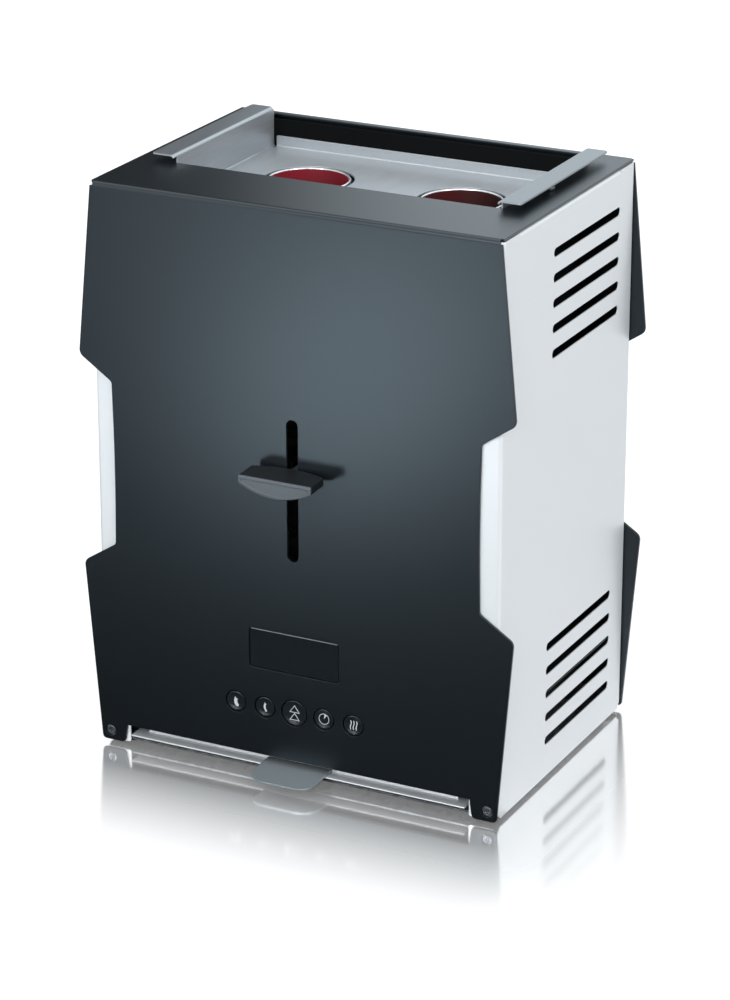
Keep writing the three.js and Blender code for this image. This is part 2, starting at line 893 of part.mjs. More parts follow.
// Crumb tray: a pan whose front edge is a stepped ledge
function crumbTray() {

	const front = trayLedgeDepth + trayStepDepth;
	const outer = block( - trayHalfWidth, trayHalfWidth, front, trayDepth, trayBottom, trayTop );
	const inner = block(
		- trayHalfWidth + traySheet,
		trayHalfWidth - traySheet,
		front - cutOverrun,
		trayDepth - traySheet,
		trayBottom + traySheet,
		trayTop + cutOverrun
	);
	const stepTop = trayLedgeTop + trayStepHeight;
	const step = outline( [
		[ - trayFrontReach, trayLedgeTop ],
		[ - trayFrontReach, trayLedgeTop - traySheet ],
		[ trayLedgeDepth + traySheet, trayLedgeTop - traySheet ],
		[ trayLedgeDepth + traySheet, stepTop - traySheet ],
		[ front - traySheet, stepTop - traySheet ],
		[ front - traySheet, trayBottom ],
		[ front + traySheet, trayBottom ],
		[ front + traySheet, trayBottom + traySheet ],
		[ front, trayBottom + traySheet ],
		[ front, stepTop ],
		[ trayLedgeDepth, stepTop ],
		[ trayLedgeDepth, trayLedgeTop ]
	] );
	const margin = outline( [
		[ - trayFrontReach, trayLedgeTop ],
		[ - trayFrontReach, trayLedgeTop - traySheet ],
		[ front - traySheet, trayLedgeTop - traySheet ],
		[ front - traySheet, trayBottom ],
		[ front + traySheet, trayBottom ],
		[ front + traySheet, trayBottom + traySheet ],
		[ front, trayBottom + traySheet ],
		[ front, trayLedgeTop ]
	] );
	const marginWidth = trayHalfWidth - trayStepHalfWidth;
	return join(
		cut( outer, inner ),
		sideways( step, - trayStepHalfWidth, 2 * trayStepHalfWidth ),
		sideways( margin, - trayHalfWidth, marginWidth ),
		sideways( margin, trayStepHalfWidth, marginWidth )
	);

}

// The tray's pull, a rounded tongue on the ledge that slopes down in front of it
function trayPull() {

	const back = trayLedgeDepth - fitGap;
	const bend = - trayFrontReach - fitGap;
	const bottom = trayLedgeTop + fitGap;
	const top = bottom + pullThickness;
	const plan = outline( [
		[ pullHalfWidth, back ],
		[ - pullHalfWidth, back ],
		[ - pullHalfWidth, - pullReach, pullCorner ],
		[ pullHalfWidth, - pullReach, pullCorner ]
	] );
	const profile = outline( [
		[ back, bottom ],
		[ back, top ],
		[ bend, top ],
		[ - pullReach, top - pullDrop ],
		[ - pullReach, bottom - pullDrop ],
		[ bend, bottom ]
	] );
	return common(
		level( plan, bottom - pullDrop, pullThickness + pullDrop ),
		sideways( profile, - pullHalfWidth, 2 * pullHalfWidth )
	);

}

// The right crumb tray runner, a channel open towards the tray
function trayRunner() {

	const wallInner = trayHalfWidth + fitGap;
	const wallOuter = wallInner + runnerSheet;
	const lipUnderside = trayTop + fitGap;
	const section = outline( [
		[ wallInner - runnerLip, runnerBottom ],
		[ wallOuter, runnerBottom ],
		[ wallOuter, lipUnderside + runnerSheet ],
		[ wallInner - runnerLip, lipUnderside + runnerSheet ],
		[ wallInner - runnerLip, lipUnderside ],
		[ wallInner, lipUnderside ],
		[ wallInner, runnerBottom + runnerSheet ],
		[ wallInner - runnerLip, runnerBottom + runnerSheet ]
	] );
	const front = trayLedgeDepth + trayStepDepth;
	return frontSheet( section, front, trayDepth - front );

}

// The bun rack: one sheet with side walls, flanges over the cover and a low back edge
function bunRack() {

	const flangeTop = casingHeight + rackRise;
	const flangeOuter = rackHalfWidth + rackFlangeWidth;
	const floor = block(
		- rackHalfWidth,
		rackHalfWidth,
		rackFront,
		rackBack,
		rackFloorUnderside,
		rackFloorTop
	);
	const backEdge = block(
		- rackHalfWidth + rackSheet + rackEndRelief,
		rackHalfWidth - rackSheet - rackEndRelief,
		rackBack - rackSheet,
		rackBack,
		rackFloorUnderside,
		rackFloorTop + rackBackRise
	);
	const walls = Object.values( sides ).map( ( side ) => {

		const outerFace = side * rackHalfWidth;
		const innerFace = side * ( rackHalfWidth - rackSheet );
		return block(
			Math.min( outerFace, innerFace ),
			Math.max( outerFace, innerFace ),
			rackFront,
			rackBack,
			rackFloorUnderside,
			flangeTop
		);

	} );
	const flanges = Object.values( sides ).map( ( side ) => {

		const innerFace = side * ( rackHalfWidth - rackSheet );
		const flange = outline( [
			[ innerFace, rackFlangeFront ],
			[ side * flangeOuter, rackFlangeFront, rackFlangeCorner ],
			[ side * flangeOuter, rackFlangeBack, rackFlangeCorner ],
			[ innerFace, rackFlangeBack ]
		] );
		return level( flange, flangeTop - rackSheet, rackSheet );

	} );
	const holes = Object.values( sides ).map( ( side ) => upright(
		rackHoleRadius,
		rackFloorUnderside - cutOverrun,
		rackFloorTop + cutOverrun,
		side * chamberPitch / 2,
		chamberDepth,
		largeRound
	) );
	return cut( join( floor, backEdge, ...walls, ...flanges ), ...holes );

}

// The black wall behind the rack
function rackBackWall() {

	const front = rackBack + fitGap;
	return block(
		- topOpeningHalfWidth + fitGap,
		topOpeningHalfWidth - fitGap,
		front,
		front + innerSheet,
		roofTop + fitGap,
		sheetTop - fitGap
	);

}

// Places of the heaters round one chamber
function heaterPlaces( side ) {

	return heaterAngles.map( ( angle ) => {

		const turn = THREE.MathUtils.degToRad( angle );
		return {
			x: side * ( chamberPitch / 2 + heaterOrbit * Math.cos( turn ) ),
			y: chamberDepth + heaterOrbit * Math.sin( turn )
		};

	} );

}

function heaterHoles( bottom, top ) {

	return Object.values( sides ).flatMap( heaterPlaces ).map( ( { x, y } ) =>
		upright( heaterPinRadius + fitGap, bottom - cutOverrun, top + cutOverrun, x, y, smallRound ) );

}

// Roof over both chambers
function chamberRoof() {

	const front = frontShieldDepth - roofOverhang;
	const plate = block( - innerHalfWidth, innerHalfWidth, front, innerBack, roofUnderside, roofTop );
	const holes = Object.values( sides ).map( ( side ) => upright(
		roofHoleRadius,
		roofUnderside - cutOverrun,
		roofTop + cutOverrun,
		side * chamberPitch / 2,
		chamberDepth,
		largeRound
	) );
	return cut( plate, ...holes, ...heaterHoles( roofUnderside, roofTop ) );

}

// Floor under both chambers, with slots that let crumbs fall
function chamberFloor() {

	const front = frontShieldDepth + innerSheet + fitGap;
	const plate = block( - innerHalfWidth, innerHalfWidth, front, innerBack, floorHeight, floorTop );
	const tools = heaterHoles( floorHeight, floorTop );
	for ( const side of Object.values( sides ) ) {

		for ( let i = 0; i < crumbHoles; i ++ ) {

			const x = side * chamberPitch / 2 + ( i - ( crumbHoles - 1 ) / 2 ) * crumbHolePitch;
			const straight = ( crumbHoleLength - crumbHoleWidth ) / 2;
			const hole = slot( x, chamberDepth - straight, x, chamberDepth + straight, crumbHoleWidth );
			tools.push( level( hole, floorHeight - cutOverrun, innerSheet + 2 * cutOverrun ) );

		}

	}

	return cut( plate, ...tools );

}

// One chamber wall, a round reflector slotted in front for the basket's arm
function chamberWall() {

	const shape = new THREE.Shape();
	shape.absarc( 0, 0, chamberRadius + innerSheet, 0, Math.PI * 2, false );
	const bore = new THREE.Path();
	bore.absarc( 0, 0, chamberRadius, 0, Math.PI * 2, true );
	shape.holes.push( bore );
	const bottom = floorTop + fitGap;
	const top = roofUnderside - fitGap;
	const tube = extrude( shape, top - bottom, largeRound ).translate( 0, 0, bottom );
	const opening = block(
		- armSlotWidth / 2,
		armSlotWidth / 2,
		- chamberRadius - innerSheet - cutOverrun,
		0,
		armSlotBottom,
		armSlotTop
	);
	return cut( tube, opening );

}

// The wall between the mechanism and the chambers
function frontShield() {

	const wall = block(
		- innerHalfWidth,
		innerHalfWidth,
		frontShieldDepth,
		frontShieldDepth + innerSheet,
		shieldBottom,
		roofUnderside - fitGap
	);
	const slots = Object.values( sides ).map( ( side ) => block(
		side * chamberPitch / 2 - armSlotWidth / 2,
		side * chamberPitch / 2 + armSlotWidth / 2,
		frontShieldDepth - cutOverrun,
		frontShieldDepth + innerSheet + cutOverrun,
		armSlotBottom,
		armSlotTop
	) );
	return cut( wall, ...slots );

}

function sideShield() {

	return block(
		sideShieldHalfSpacing,
		sideShieldHalfSpacing + innerSheet,
		frontShieldDepth + innerSheet + fitGap,
		innerBack,
		floorTop + fitGap,
		roofUnderside - fitGap
	);

}

// The right shield that hides the room below the chambers from the vents
function lowerShield() {

	return block(
		lowerShieldHalfSpacing,
		lowerShieldHalfSpacing + innerSheet,
		frontShieldDepth + innerSheet + fitGap,
		innerBack,
		trayTop + lowerShieldRise,
		floorHeight - fitGap
	);

}

function backShield() {

	return block(
		- sideShieldHalfSpacing + fitGap,
		sideShieldHalfSpacing - fitGap,
		backShieldDepth,
		backShieldDepth + innerSheet,
		floorTop + fitGap,
		roofUnderside - fitGap
	);

}

// A heater rod: a glowing tube with a ceramic cap and a pin at each end
function heater() {

	const bottom = floorTop + fitGap;
	const top = roofUnderside - fitGap;
	return turned( [
		[ 0, bottom - heaterPinLength ],
		[ heaterPinRadius, bottom - heaterPinLength ],
		[ heaterPinRadius, bottom ],
		[ heaterCapRadius, bottom ],
		[ heaterCapRadius, bottom + heaterCapLength ],
		[ heaterRadius, bottom + heaterCapLength ],
		[ heaterRadius, top - heaterCapLength ],
		[ heaterCapRadius, top - heaterCapLength ],
		[ heaterCapRadius, top ],
		[ heaterPinRadius, top ],
		[ heaterPinRadius, top + heaterPinLength - roofDrop / 2 ],
		[ 0, top + heaterPinLength - roofDrop / 2 ]
	], smallRound );

}

// A wire basket: a pierced floor, upright wires and hoops
function basket() {

	const wireRadius = basketWire / 2;
	const hoopRadius = basketRadius - wireRadius;
	const floor = turned( [
		[ 0, 0 ],
		[ basketRadius, 0 ],
		[ basketRadius, basketFloor ],
		[ 0, basketFloor ]
	] );
	const hoops = basketHoopShares.map( ( share ) =>
		new THREE.TorusGeometry( hoopRadius, wireRadius, wireSides, middleRound )
			.translate( 0, 0, share * basketHeight - wireRadius ) );
	const wires = Array.from( { length: basketWires }, ( _, i ) => {

		const angle = i / basketWires * Math.PI * 2;
		return upright(
			wireRadius,
			basketFloor / 2,
			basketHeight - wireRadius,
			hoopRadius * Math.cos( angle ),
			hoopRadius * Math.sin( angle ),
			wireSides
		);

	} );
	const drain = [ - 1, 0, 1 ].map( ( place ) => {

		const reach = ( hoopRadius - basketWire ) * ( place === 0 ? 0.8 : 0.6 );
		const x = place * hoopRadius / 2;
		return level(
			slot( x, - reach + basketWire, x, reach - basketWire, basketWire ),
			- cutOverrun,
			basketFloor + 2 * cutOverrun
		);

	} );
	return cut( join( floor, ...hoops, ...wires ), ...drain );

}

// The carriage: a bar on two sleeves, a neck up to the lever and an arm under each basket
function carriage() {

	const barPlate = block(
		- carriageBarHalfLength,
		carriageBarHalfLength,
		carriageFront,
		carriageBack,
		carriageBottom,
		carriageBarTop
	);
	const neck = block(
		- neckHalfWidth,
		neckHalfWidth,
		carriageFront,
		carriageBack,
		carriageBarTop - carriageSheet,
		neckTop
	);
	const shelf = block(
		- springShelfHalfWidth,
		springShelfHalfWidth,
		rodDepth,
		carriageBack + springShelfReach,
		shelfTop - carriageSheet,
		shelfTop
	);
	const arms = Object.values( sides ).map( ( side ) => block(
		side * chamberPitch / 2 - carriageArmWidth / 2,
		side * chamberPitch / 2 + carriageArmWidth / 2,
		rodDepth,
		chamberDepth + carriageArmEnd,
		carriageBottom,
		carriageArmTop
	) );
	const places = Object.values( sides ).map( ( side ) => side * rodSpacing / 2 );
	const sleeves = places.map( ( x ) => upright(
		sleeveRadius,
		carriageBottom - sleeveOverlap,
		carriageBarTop + sleeveOverlap,
		x,
		rodDepth
	) );
	const bores = places.map( ( x ) => upright(
		rodRadius + runningClearance,
		carriageBottom - sleeveOverlap - cutOverrun,
		carriageBarTop + sleeveOverlap + cutOverrun,
		x,
		rodDepth
	) );
	return cut( join( barPlate, neck, shelf, ...arms, ...sleeves ), ...bores );

}

function guideRod() {

	const bottom = lowerBracketHeight - rodEnd;
	const seat = upperBracketHeight + bracketSheet + fitGap;
	return turned( [
		[ 0, bottom ],
		[ rodRadius, bottom ],
		[ rodRadius, seat ],
		[ rodHeadRadius, seat ],
		[ rodHeadRadius, seat + rodHeadHeight ],
		[ 0, seat + rodHeadHeight ]
	] );

}

// A bracket that holds one end of both guide rods, with a flange against the shield
function rodBracket( height, flangeUp ) {

	const plate = block(
		- bracketHalfWidth,
		bracketHalfWidth,
		bracketFront,
		bracketBack,
		height,
		height + bracketSheet
	);
	const flange = block(
		- bracketHalfWidth,
		bracketHalfWidth,
		bracketBack - bracketSheet,
		bracketBack,
		flangeUp ? height : height + bracketSheet - bracketFlange,
		flangeUp ? height + bracketFlange : height + bracketSheet
	);
	const holes = Object.values( sides ).map( ( side ) => upright(
		rodRadius + fitGap,
		height - cutOverrun,
		height + bracketSheet + cutOverrun,
		side * rodSpacing / 2,
		rodDepth
	) );
	return cut( join( plate, flange ), ...holes );

}

function keeperPlate() {

	return block(
		- keeperHalfWidth,
		keeperHalfWidth,
		rodDepth - keeperDepth / 2,
		rodDepth + keeperDepth / 2,
		keeperBottom,
		keeperBottom + keeperThickness
	);

}

// The latch magnet: a coil between the two legs of a yoke
function latchMagnet() {

	const front = rodDepth - magnetDepth / 2;
	const back = rodDepth + magnetDepth / 2;
	const foot = block(
		- magnetHalfWidth,
		magnetHalfWidth,
		front,
		back,
		magnetBottom,
		magnetBottom + magnetYokeThickness
	);
	const legs = Object.values( sides ).map( ( side ) => {

		const outerFace = side * magnetHalfWidth;
		const innerFace = side * ( magnetHalfWidth - magnetYokeThickness );
		return block(
			Math.min( outerFace, innerFace ),
			Math.max( outerFace, innerFace ),
			front,
			back,
			magnetBottom,
			magnetTop
		);

	} );
	const coil = upright(
		magnetCoilRadius,
		magnetBottom + magnetYokeThickness / 2,
		magnetTop - magnetYokeThickness / 2,
		0,
		rodDepth
	);
	return join( foot, coil, ...legs );

}

// The lever arm: a bar through the cover's slot, with a foot on the carriage's neck
function leverArm() {

	const halfHeight = leverArmHeight / 2;
	const stem = block(
		- leverArmWidth / 2,
		leverArmWidth / 2,
		leverArmFront,
		leverArmBack,
		leverRestHeight - halfHeight,
		leverRestHeight + halfHeight
	);
	const foot = block(
		- leverFootHalfWidth,
		leverFootHalfWidth,
		leverArmBack - leverFootThickness,
		leverArmBack,
		leverRestHeight - leverFootHalfWidth,
		leverRestHeight + leverFootHalfWidth
	);
	return join( stem, foot );

}

// The knob: a flat finger plate with a bowed back, deepest at the middle of its front edge
function leverKnob() {

	const topFront = leverRestHeight + knobTopAboveArm - knobTopRise;
	const topBack = leverRestHeight + knobTopAboveArm;
	const back = - knobGap;
	const halfWidth = knobWidth / 2;
	const profile = outline( [
		[ - knobProjection, topFront - knobFrontDrop ],
		[ back, topBack - knobBackThickness ],
		[ back, topBack ],
		[ - knobProjection, topFront ]
	] );
	const face = new THREE.Shape();
	face.moveTo( - halfWidth, topBack + cutOverrun );
	face.lineTo( - halfWidth, topFront - knobFrontEdge );
	face.quadraticCurveTo( 0, topFront - 2 * knobFrontDrop + knobFrontEdge, halfWidth, topFront - knobFrontEdge );
	face.lineTo( halfWidth, topBack + cutOverrun );
	face.closePath();
	const plan = new THREE.Shape();
	plan.moveTo( - halfWidth, - knobProjection - cutOverrun );
	plan.lineTo( - halfWidth, back - knobBackBow );
	plan.quadraticCurveTo( 0, back + knobBackBow, halfWidth, back - knobBackBow );
	plan.lineTo( halfWidth, - knobProjection - cutOverrun );
	plan.closePath();
	const height = knobFrontDrop + knobTopRise + 2 * cutOverrun;
	const wedge = common(
		sideways( profile, - halfWidth, knobWidth ),
		extrude( plan, height, largeRound / 2 ).translate( 0, 0, topBack + cutOverrun - height )
	);
	const plate = common(
		wedge,
		extrude( face, knobProjection + cutOverrun, largeRound / 2 )
			.rotateX( Math.PI / 2 )
			.translate( 0, cutOverrun / 2, 0 )
	);
	const boss = bar( knobBossRadius, leverArmFront - cutOverrun, back, 0, leverRestHeight );
	const socket = block(
		- leverArmWidth / 2 - fitGap,
		leverArmWidth / 2 + fitGap,
		leverArmFront - fitGap,
		cutOverrun,
		leverRestHeight - leverArmHeight / 2 - fitGap,
		leverRestHeight + leverArmHeight / 2 + fitGap
	);
	return cut( join( plate, boss ), socket );

}

class CoilPath extends THREE.Curve {

	constructor( radius, curls, bottom, top ) {

		super();
		Object.assign( this, { radius, curls, bottom, top } );

	}

	getPoint( t, target = new THREE.Vector3() ) {

		const angle = t * this.curls * Math.PI * 2;
		return target.set(
			this.radius * Math.cos( angle ),
			this.radius * Math.sin( angle ),
			this.bottom + t * ( this.top - this.bottom )
		);

	}

}

// The lift spring hangs from the upper bracket and ends on the carriage's shelf
function liftSpring() {

	const wireRadius = springWire / 2;
	const bottom = shelfTop + fitGap + wireRadius;
	const top = upperBracketHeight - fitGap - wireRadius;
	const path = new CoilPath( springRadius, springCurls, bottom, top );
	const section = new THREE.Shape();
	for ( let i = 0; i < springSides; i ++ ) {

		const angle = i / springSides * Math.PI * 2;
		const x = wireRadius * Math.cos( angle );
		const y = wireRadius * Math.sin( angle );
		if ( i === 0 ) section.moveTo( x, y );
		else section.lineTo( x, y );

	}

	section.closePath();
	const steps = springCurls * springStepsPerCurl;
	const coil = new THREE.ExtrudeGeometry( section, { steps, bevelEnabled: false, extrudePath: path } );
	const points = path.getPoints( steps );
	let least = Infinity;
	for ( let i = 0; i < points.length; i ++ ) {

		for ( let j = i + springStepsPerCurl / 2; j < points.length; j ++ ) {

			least = Math.min( least, points[ i ].distanceTo( points[ j ] ) - springWire );

		}

	}

	console.log( `lift_spring least gap to itself ${ least.toFixed( 2 ) } mm` );
	return coil.translate( 0, springDepth, 0 );

}

// The plastic housing behind the cover that holds the display and the buttons
function controlHousing() {

	const outer = block(
		- housingHalfWidth,
		housingHalfWidth,
		sideFront,
		housingDepth,
		housingBottom,
		housingTop
	);
	const inner = block(
		- housingHalfWidth + housingWall,
		housingHalfWidth - housingWall,
		sideFront + housingWall,
		housingDepth + cutOverrun,
		housingBottom + housingWall,
		housingTop - housingWall
	);
	const window = frontSheet(
		rectangle( - windowHalfWidth, windowHalfWidth, windowBottom, windowTop, windowCorner ),
		sideFront - cutOverrun,
		housingWall + 2 * cutOverrun
	);
	const holes = buttons.map( ( { x, radius } ) => bar(
		radius + buttonCollar + fitGap,
		sideFront - cutOverrun,
		sideFront + housingWall + cutOverrun,
		x,
		buttonHeight
	) );
	return cut( outer, inner, window, ...holes );

}

function displayLens() {

	const shape = rectangle(
		- windowHalfWidth + fitGap,
		windowHalfWidth - fitGap,
		windowBottom + fitGap,
		windowTop - fitGap,
		windowCorner
	);
	return frontSheet( shape, lensRecess, lensThickness );

}

function displayModule() {

	const front = sideFront + housingWall + fitGap;
	return block(
		- windowHalfWidth - moduleMargin,
		windowHalfWidth + moduleMargin,
		front,
		front + moduleDepth,
		windowBottom - moduleMargin,
		windowTop + moduleMargin
	);

}

// The control board with its push switches
function controlBoard() {

	const back = housingDepth - boardInset;
	const front = back - boardThickness;
	const inset = housingWall + fitGap;
	const board = block(
		- housingHalfWidth + inset,
		housingHalfWidth - inset,
		front,
		back,
		housingBottom + inset,
		housingTop - inset
	);
	const switches = buttons.map( ( { x } ) => block(
		x - switchHalfWidth,
		x + switchHalfWidth,
		front - switchHeight,
		front + boardThickness / 2,
		buttonHeight - switchHalfWidth,
		buttonHeight + switchHalfWidth
	) );
	return join( board, ...switches );

}

// A button: cap, collar behind the cover and a stem towards its switch
function button( radius ) {

	return turned( [
		[ 0, - buttonRecess ],
		[ radius - buttonRecess, - buttonRecess ],
		[ radius, - 2 * buttonRecess ],
		[ radius, - sideFront ],
		[ radius + buttonCollar, - sideFront ],
		[ radius + buttonCollar, - sideFront - buttonCollarDepth ],
		[ radius, - sideFront - buttonCollarDepth ],
		[ radius, - buttonCapDepth ],
		[ buttonStemRadius, - buttonCapDepth ],
		[ buttonStemRadius, - buttonStemEnd ],
		[ 0, - buttonStemEnd ]
	].reverse() );

}

// The cord inlet, a bush in the back wall with a bore for the cord
function cordInlet() {

	const groove = glandRadius - glandGroove;
	return turned( [
		[ glandBore, - coverSheet - glandInside ],
		[ glandRadius, - coverSheet - glandInside ],
		[ glandRadius, - coverSheet - fitGap ],
		[ groove, - coverSheet - fitGap ],
		[ groove, fitGap ],
		[ glandRadius, fitGap ],
		[ glandRadius - glandTaper, glandReach ],
		[ glandBore, glandReach ],
		[ glandBore, - coverSheet - glandInside ]
	] );

}

// The terminal block stands on the base plate behind the tray
function terminalBlock() {

	const bottom = baseTop + fitGap;
	const body = block(
		glandX - blockHalfWidth,
		glandX + blockHalfWidth,
		terminalFront,
		terminalBack,
		bottom,
		bottom + blockHeight
	);
	const step = block(
		glandX - blockHalfWidth - cutOverrun,
		glandX + blockHalfWidth + cutOverrun,
		terminalFront - cutOverrun,
		terminalFront + blockStep,
		bottom + blockHeight - blockStep,
		bottom + blockHeight + cutOverrun
	);
	return cut( body, step );

}

piece( 'cover', cover(), finishes.black );
piece( 'side_panel_right', sidePanel(), finishes.silver );
piece( 'side_panel_left', mirrored( sidePanel() ), finishes.silver );
addScrews();
piece( 'base_plate', basePlate(), finishes.steel );
for ( const { name, x, y } of footPlaces() ) {

	piece( `foot_${ name }`, foot(), finishes.rubber ).position.set( x, y, 0 );

}

piece( 'tray_runner_right', trayRunner(), finishes.steel );
piece( 'tray_runner_left', mirrored( trayRunner() ), finishes.steel );
piece( 'crumb_tray', crumbTray(), finishes.stainless );
piece( 'crumb_tray_pull', trayPull(), finishes.silver );
piece( 'bun_rack', bunRack(), finishes.rack );
piece( 'rack_back_wall', rackBackWall(), finishes.black );
piece( 'chamber_roof', chamberRoof(), finishes.steel );
piece( 'chamber_floor', chamberFloor(), finishes.steel );
piece( 'front_shield', frontShield(), finishes.steel );
piece( 'back_shield', backShield(), finishes.steel );
piece( 'side_shield_right', sideShield(), finishes.steel );
piece( 'side_shield_left', mirrored( sideShield() ), finishes.steel );
piece( 'lower_shield_right', lowerShield(), finishes.steel );
piece( 'lower_shield_left', mirrored( lowerShield() ), finishes.steel );
for ( const [ name, side ] of Object.entries( sides ) ) {

	const x = side * chamberPitch / 2;
	piece( `chamber_${ name }`, chamberWall(), finishes.steel ).position.set( x, chamberDepth, 0 );
	heaterPlaces( side ).forEach( ( place, i ) => {

		piece( `heater_${ name }_${ i + 1 }`, heater(), finishes.heater ).position.set( place.x, place.y, 0 );

	} );
	piece( `basket_${ name }`, basket(), finishes.wire ).position.set( x, chamberDepth, basketBase );
	const rod = piece( `guide_rod_${ name }`, guideRod(), finishes.stainless );
	rod.position.set( side * rodSpacing / 2, rodDepth, 0 );

}

piece( 'rod_bracket_upper', rodBracket( upperBracketHeight, true ), finishes.steel );
piece( 'rod_bracket_lower', rodBracket( lowerBracketHeight, false ), finishes.steel );
piece( 'carriage', carriage(), finishes.steel );
piece( 'lift_spring', liftSpring(), finishes.wire );
piece( 'keeper_plate', keeperPlate(), finishes.steel );
piece( 'latch_magnet', latchMagnet(), finishes.magnet );
piece( 'lever_arm', leverArm(), finishes.stainless );
piece( 'lever_knob', leverKnob(), finishes.blackPlastic );
piece( 'control_housing', controlHousing(), finishes.blackPlastic );
piece( 'display_lens', displayLens(), finishes.lens );
piece( 'display_module', displayModule(), finishes.blackPlastic );
piece( 'control_board', controlBoard(), finishes.board );
buttons.forEach( ( { x, radius }, i ) => {

	const cap = piece( `button_${ i + 1 }`, button( radius ), finishes.button );
	cap.rotation.x = Math.PI / 2;
	cap.position.set( x, 0, buttonHeight );

} );
const inlet = piece( 'cord_inlet', cordInlet(), finishes.blackPlastic );
inlet.rotation.x = - Math.PI / 2;
inlet.position.set( glandX, casingDepth, glandHeight );
piece( 'terminal_block', terminalBlock(), finishes.blackPlastic );

export default toaster;
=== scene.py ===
import math

import bmesh
import bpy
from mathutils import Matrix, Vector


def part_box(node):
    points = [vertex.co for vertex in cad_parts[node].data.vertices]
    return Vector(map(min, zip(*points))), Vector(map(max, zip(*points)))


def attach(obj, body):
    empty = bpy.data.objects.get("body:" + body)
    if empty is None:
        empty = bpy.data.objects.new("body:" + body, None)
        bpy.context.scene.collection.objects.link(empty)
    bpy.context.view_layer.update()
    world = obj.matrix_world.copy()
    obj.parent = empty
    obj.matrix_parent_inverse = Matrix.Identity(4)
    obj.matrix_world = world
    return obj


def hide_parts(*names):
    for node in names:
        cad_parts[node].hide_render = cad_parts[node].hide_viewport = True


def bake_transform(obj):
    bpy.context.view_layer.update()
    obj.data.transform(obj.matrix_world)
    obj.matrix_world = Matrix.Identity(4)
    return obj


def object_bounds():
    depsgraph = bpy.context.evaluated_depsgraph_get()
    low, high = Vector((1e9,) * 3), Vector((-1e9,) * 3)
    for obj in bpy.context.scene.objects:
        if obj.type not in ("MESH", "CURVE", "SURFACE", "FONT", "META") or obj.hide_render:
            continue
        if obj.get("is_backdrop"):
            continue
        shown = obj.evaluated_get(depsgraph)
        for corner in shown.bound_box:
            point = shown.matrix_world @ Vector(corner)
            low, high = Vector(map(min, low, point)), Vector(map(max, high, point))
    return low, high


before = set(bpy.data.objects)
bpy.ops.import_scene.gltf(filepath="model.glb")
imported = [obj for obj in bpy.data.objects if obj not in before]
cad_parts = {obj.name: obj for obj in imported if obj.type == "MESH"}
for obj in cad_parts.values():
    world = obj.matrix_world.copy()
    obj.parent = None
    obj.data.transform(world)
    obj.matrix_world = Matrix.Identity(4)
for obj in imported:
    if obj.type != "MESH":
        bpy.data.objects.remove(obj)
cad_low, cad_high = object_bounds()
scene = bpy.context.scene
scene.view_settings.view_transform = "Standard"


# Viewpoint
# The toaster is seen from the right of its front and from above, at about the
# height of a standing person's eyes, through a long lens.
camera_place = Vector((0.8152, -1.6107, 0.8315))
camera_azimuth = math.radians(26.77)
camera_drop = math.radians(21.10)
camera_lens = 129.78

camera = bpy.data.objects.new("viewpoint", bpy.data.cameras.new("viewpoint"))
camera.location = camera_place
camera.rotation_euler = (math.pi / 2 - camera_drop, 0, camera_azimuth)
camera.data.lens = camera_lens
scene.collection.objects.link(camera)
scene.camera = camera


# Studio
# A white floor that mirrors the toaster's foot softly, white surroundings, large
# soft lamps, and two cards that only show as reflections in the coat and the rack.
class Value:
    """A number or colour that varies over a surface: a socket that takes part in sums."""

    def __init__(self, recipe, socket):
        self.recipe, self.socket = recipe, socket

    def reckon(self, operation, *inputs):
        return self.recipe.node("Math", *inputs, operation=operation)

    def __add__(self, other):
        return self.reckon("ADD", self, other)

    __radd__ = __add__

    def __sub__(self, other):
        return self.reckon("SUBTRACT", self, other)

    def __rsub__(self, other):
        return self.reckon("SUBTRACT", other, self)

    def __mul__(self, other):
        return self.reckon("MULTIPLY", self, other)

    __rmul__ = __mul__

    def __truediv__(self, other):
        return self.reckon("DIVIDE", self, other)

    def __pow__(self, other):
        return self.reckon("POWER", self, other)

    def __gt__(self, other):
        return self.reckon("GREATER_THAN", self, other)

    def __lt__(self, other):
        return self.reckon("LESS_THAN", self, other)

    def __abs__(self):
        return self.reckon("ABSOLUTE", self)

    def at_least(self, other):
        return self.reckon("MAXIMUM", self, other)

    def at_most(self, other):
        return self.reckon("MINIMUM", self, other)


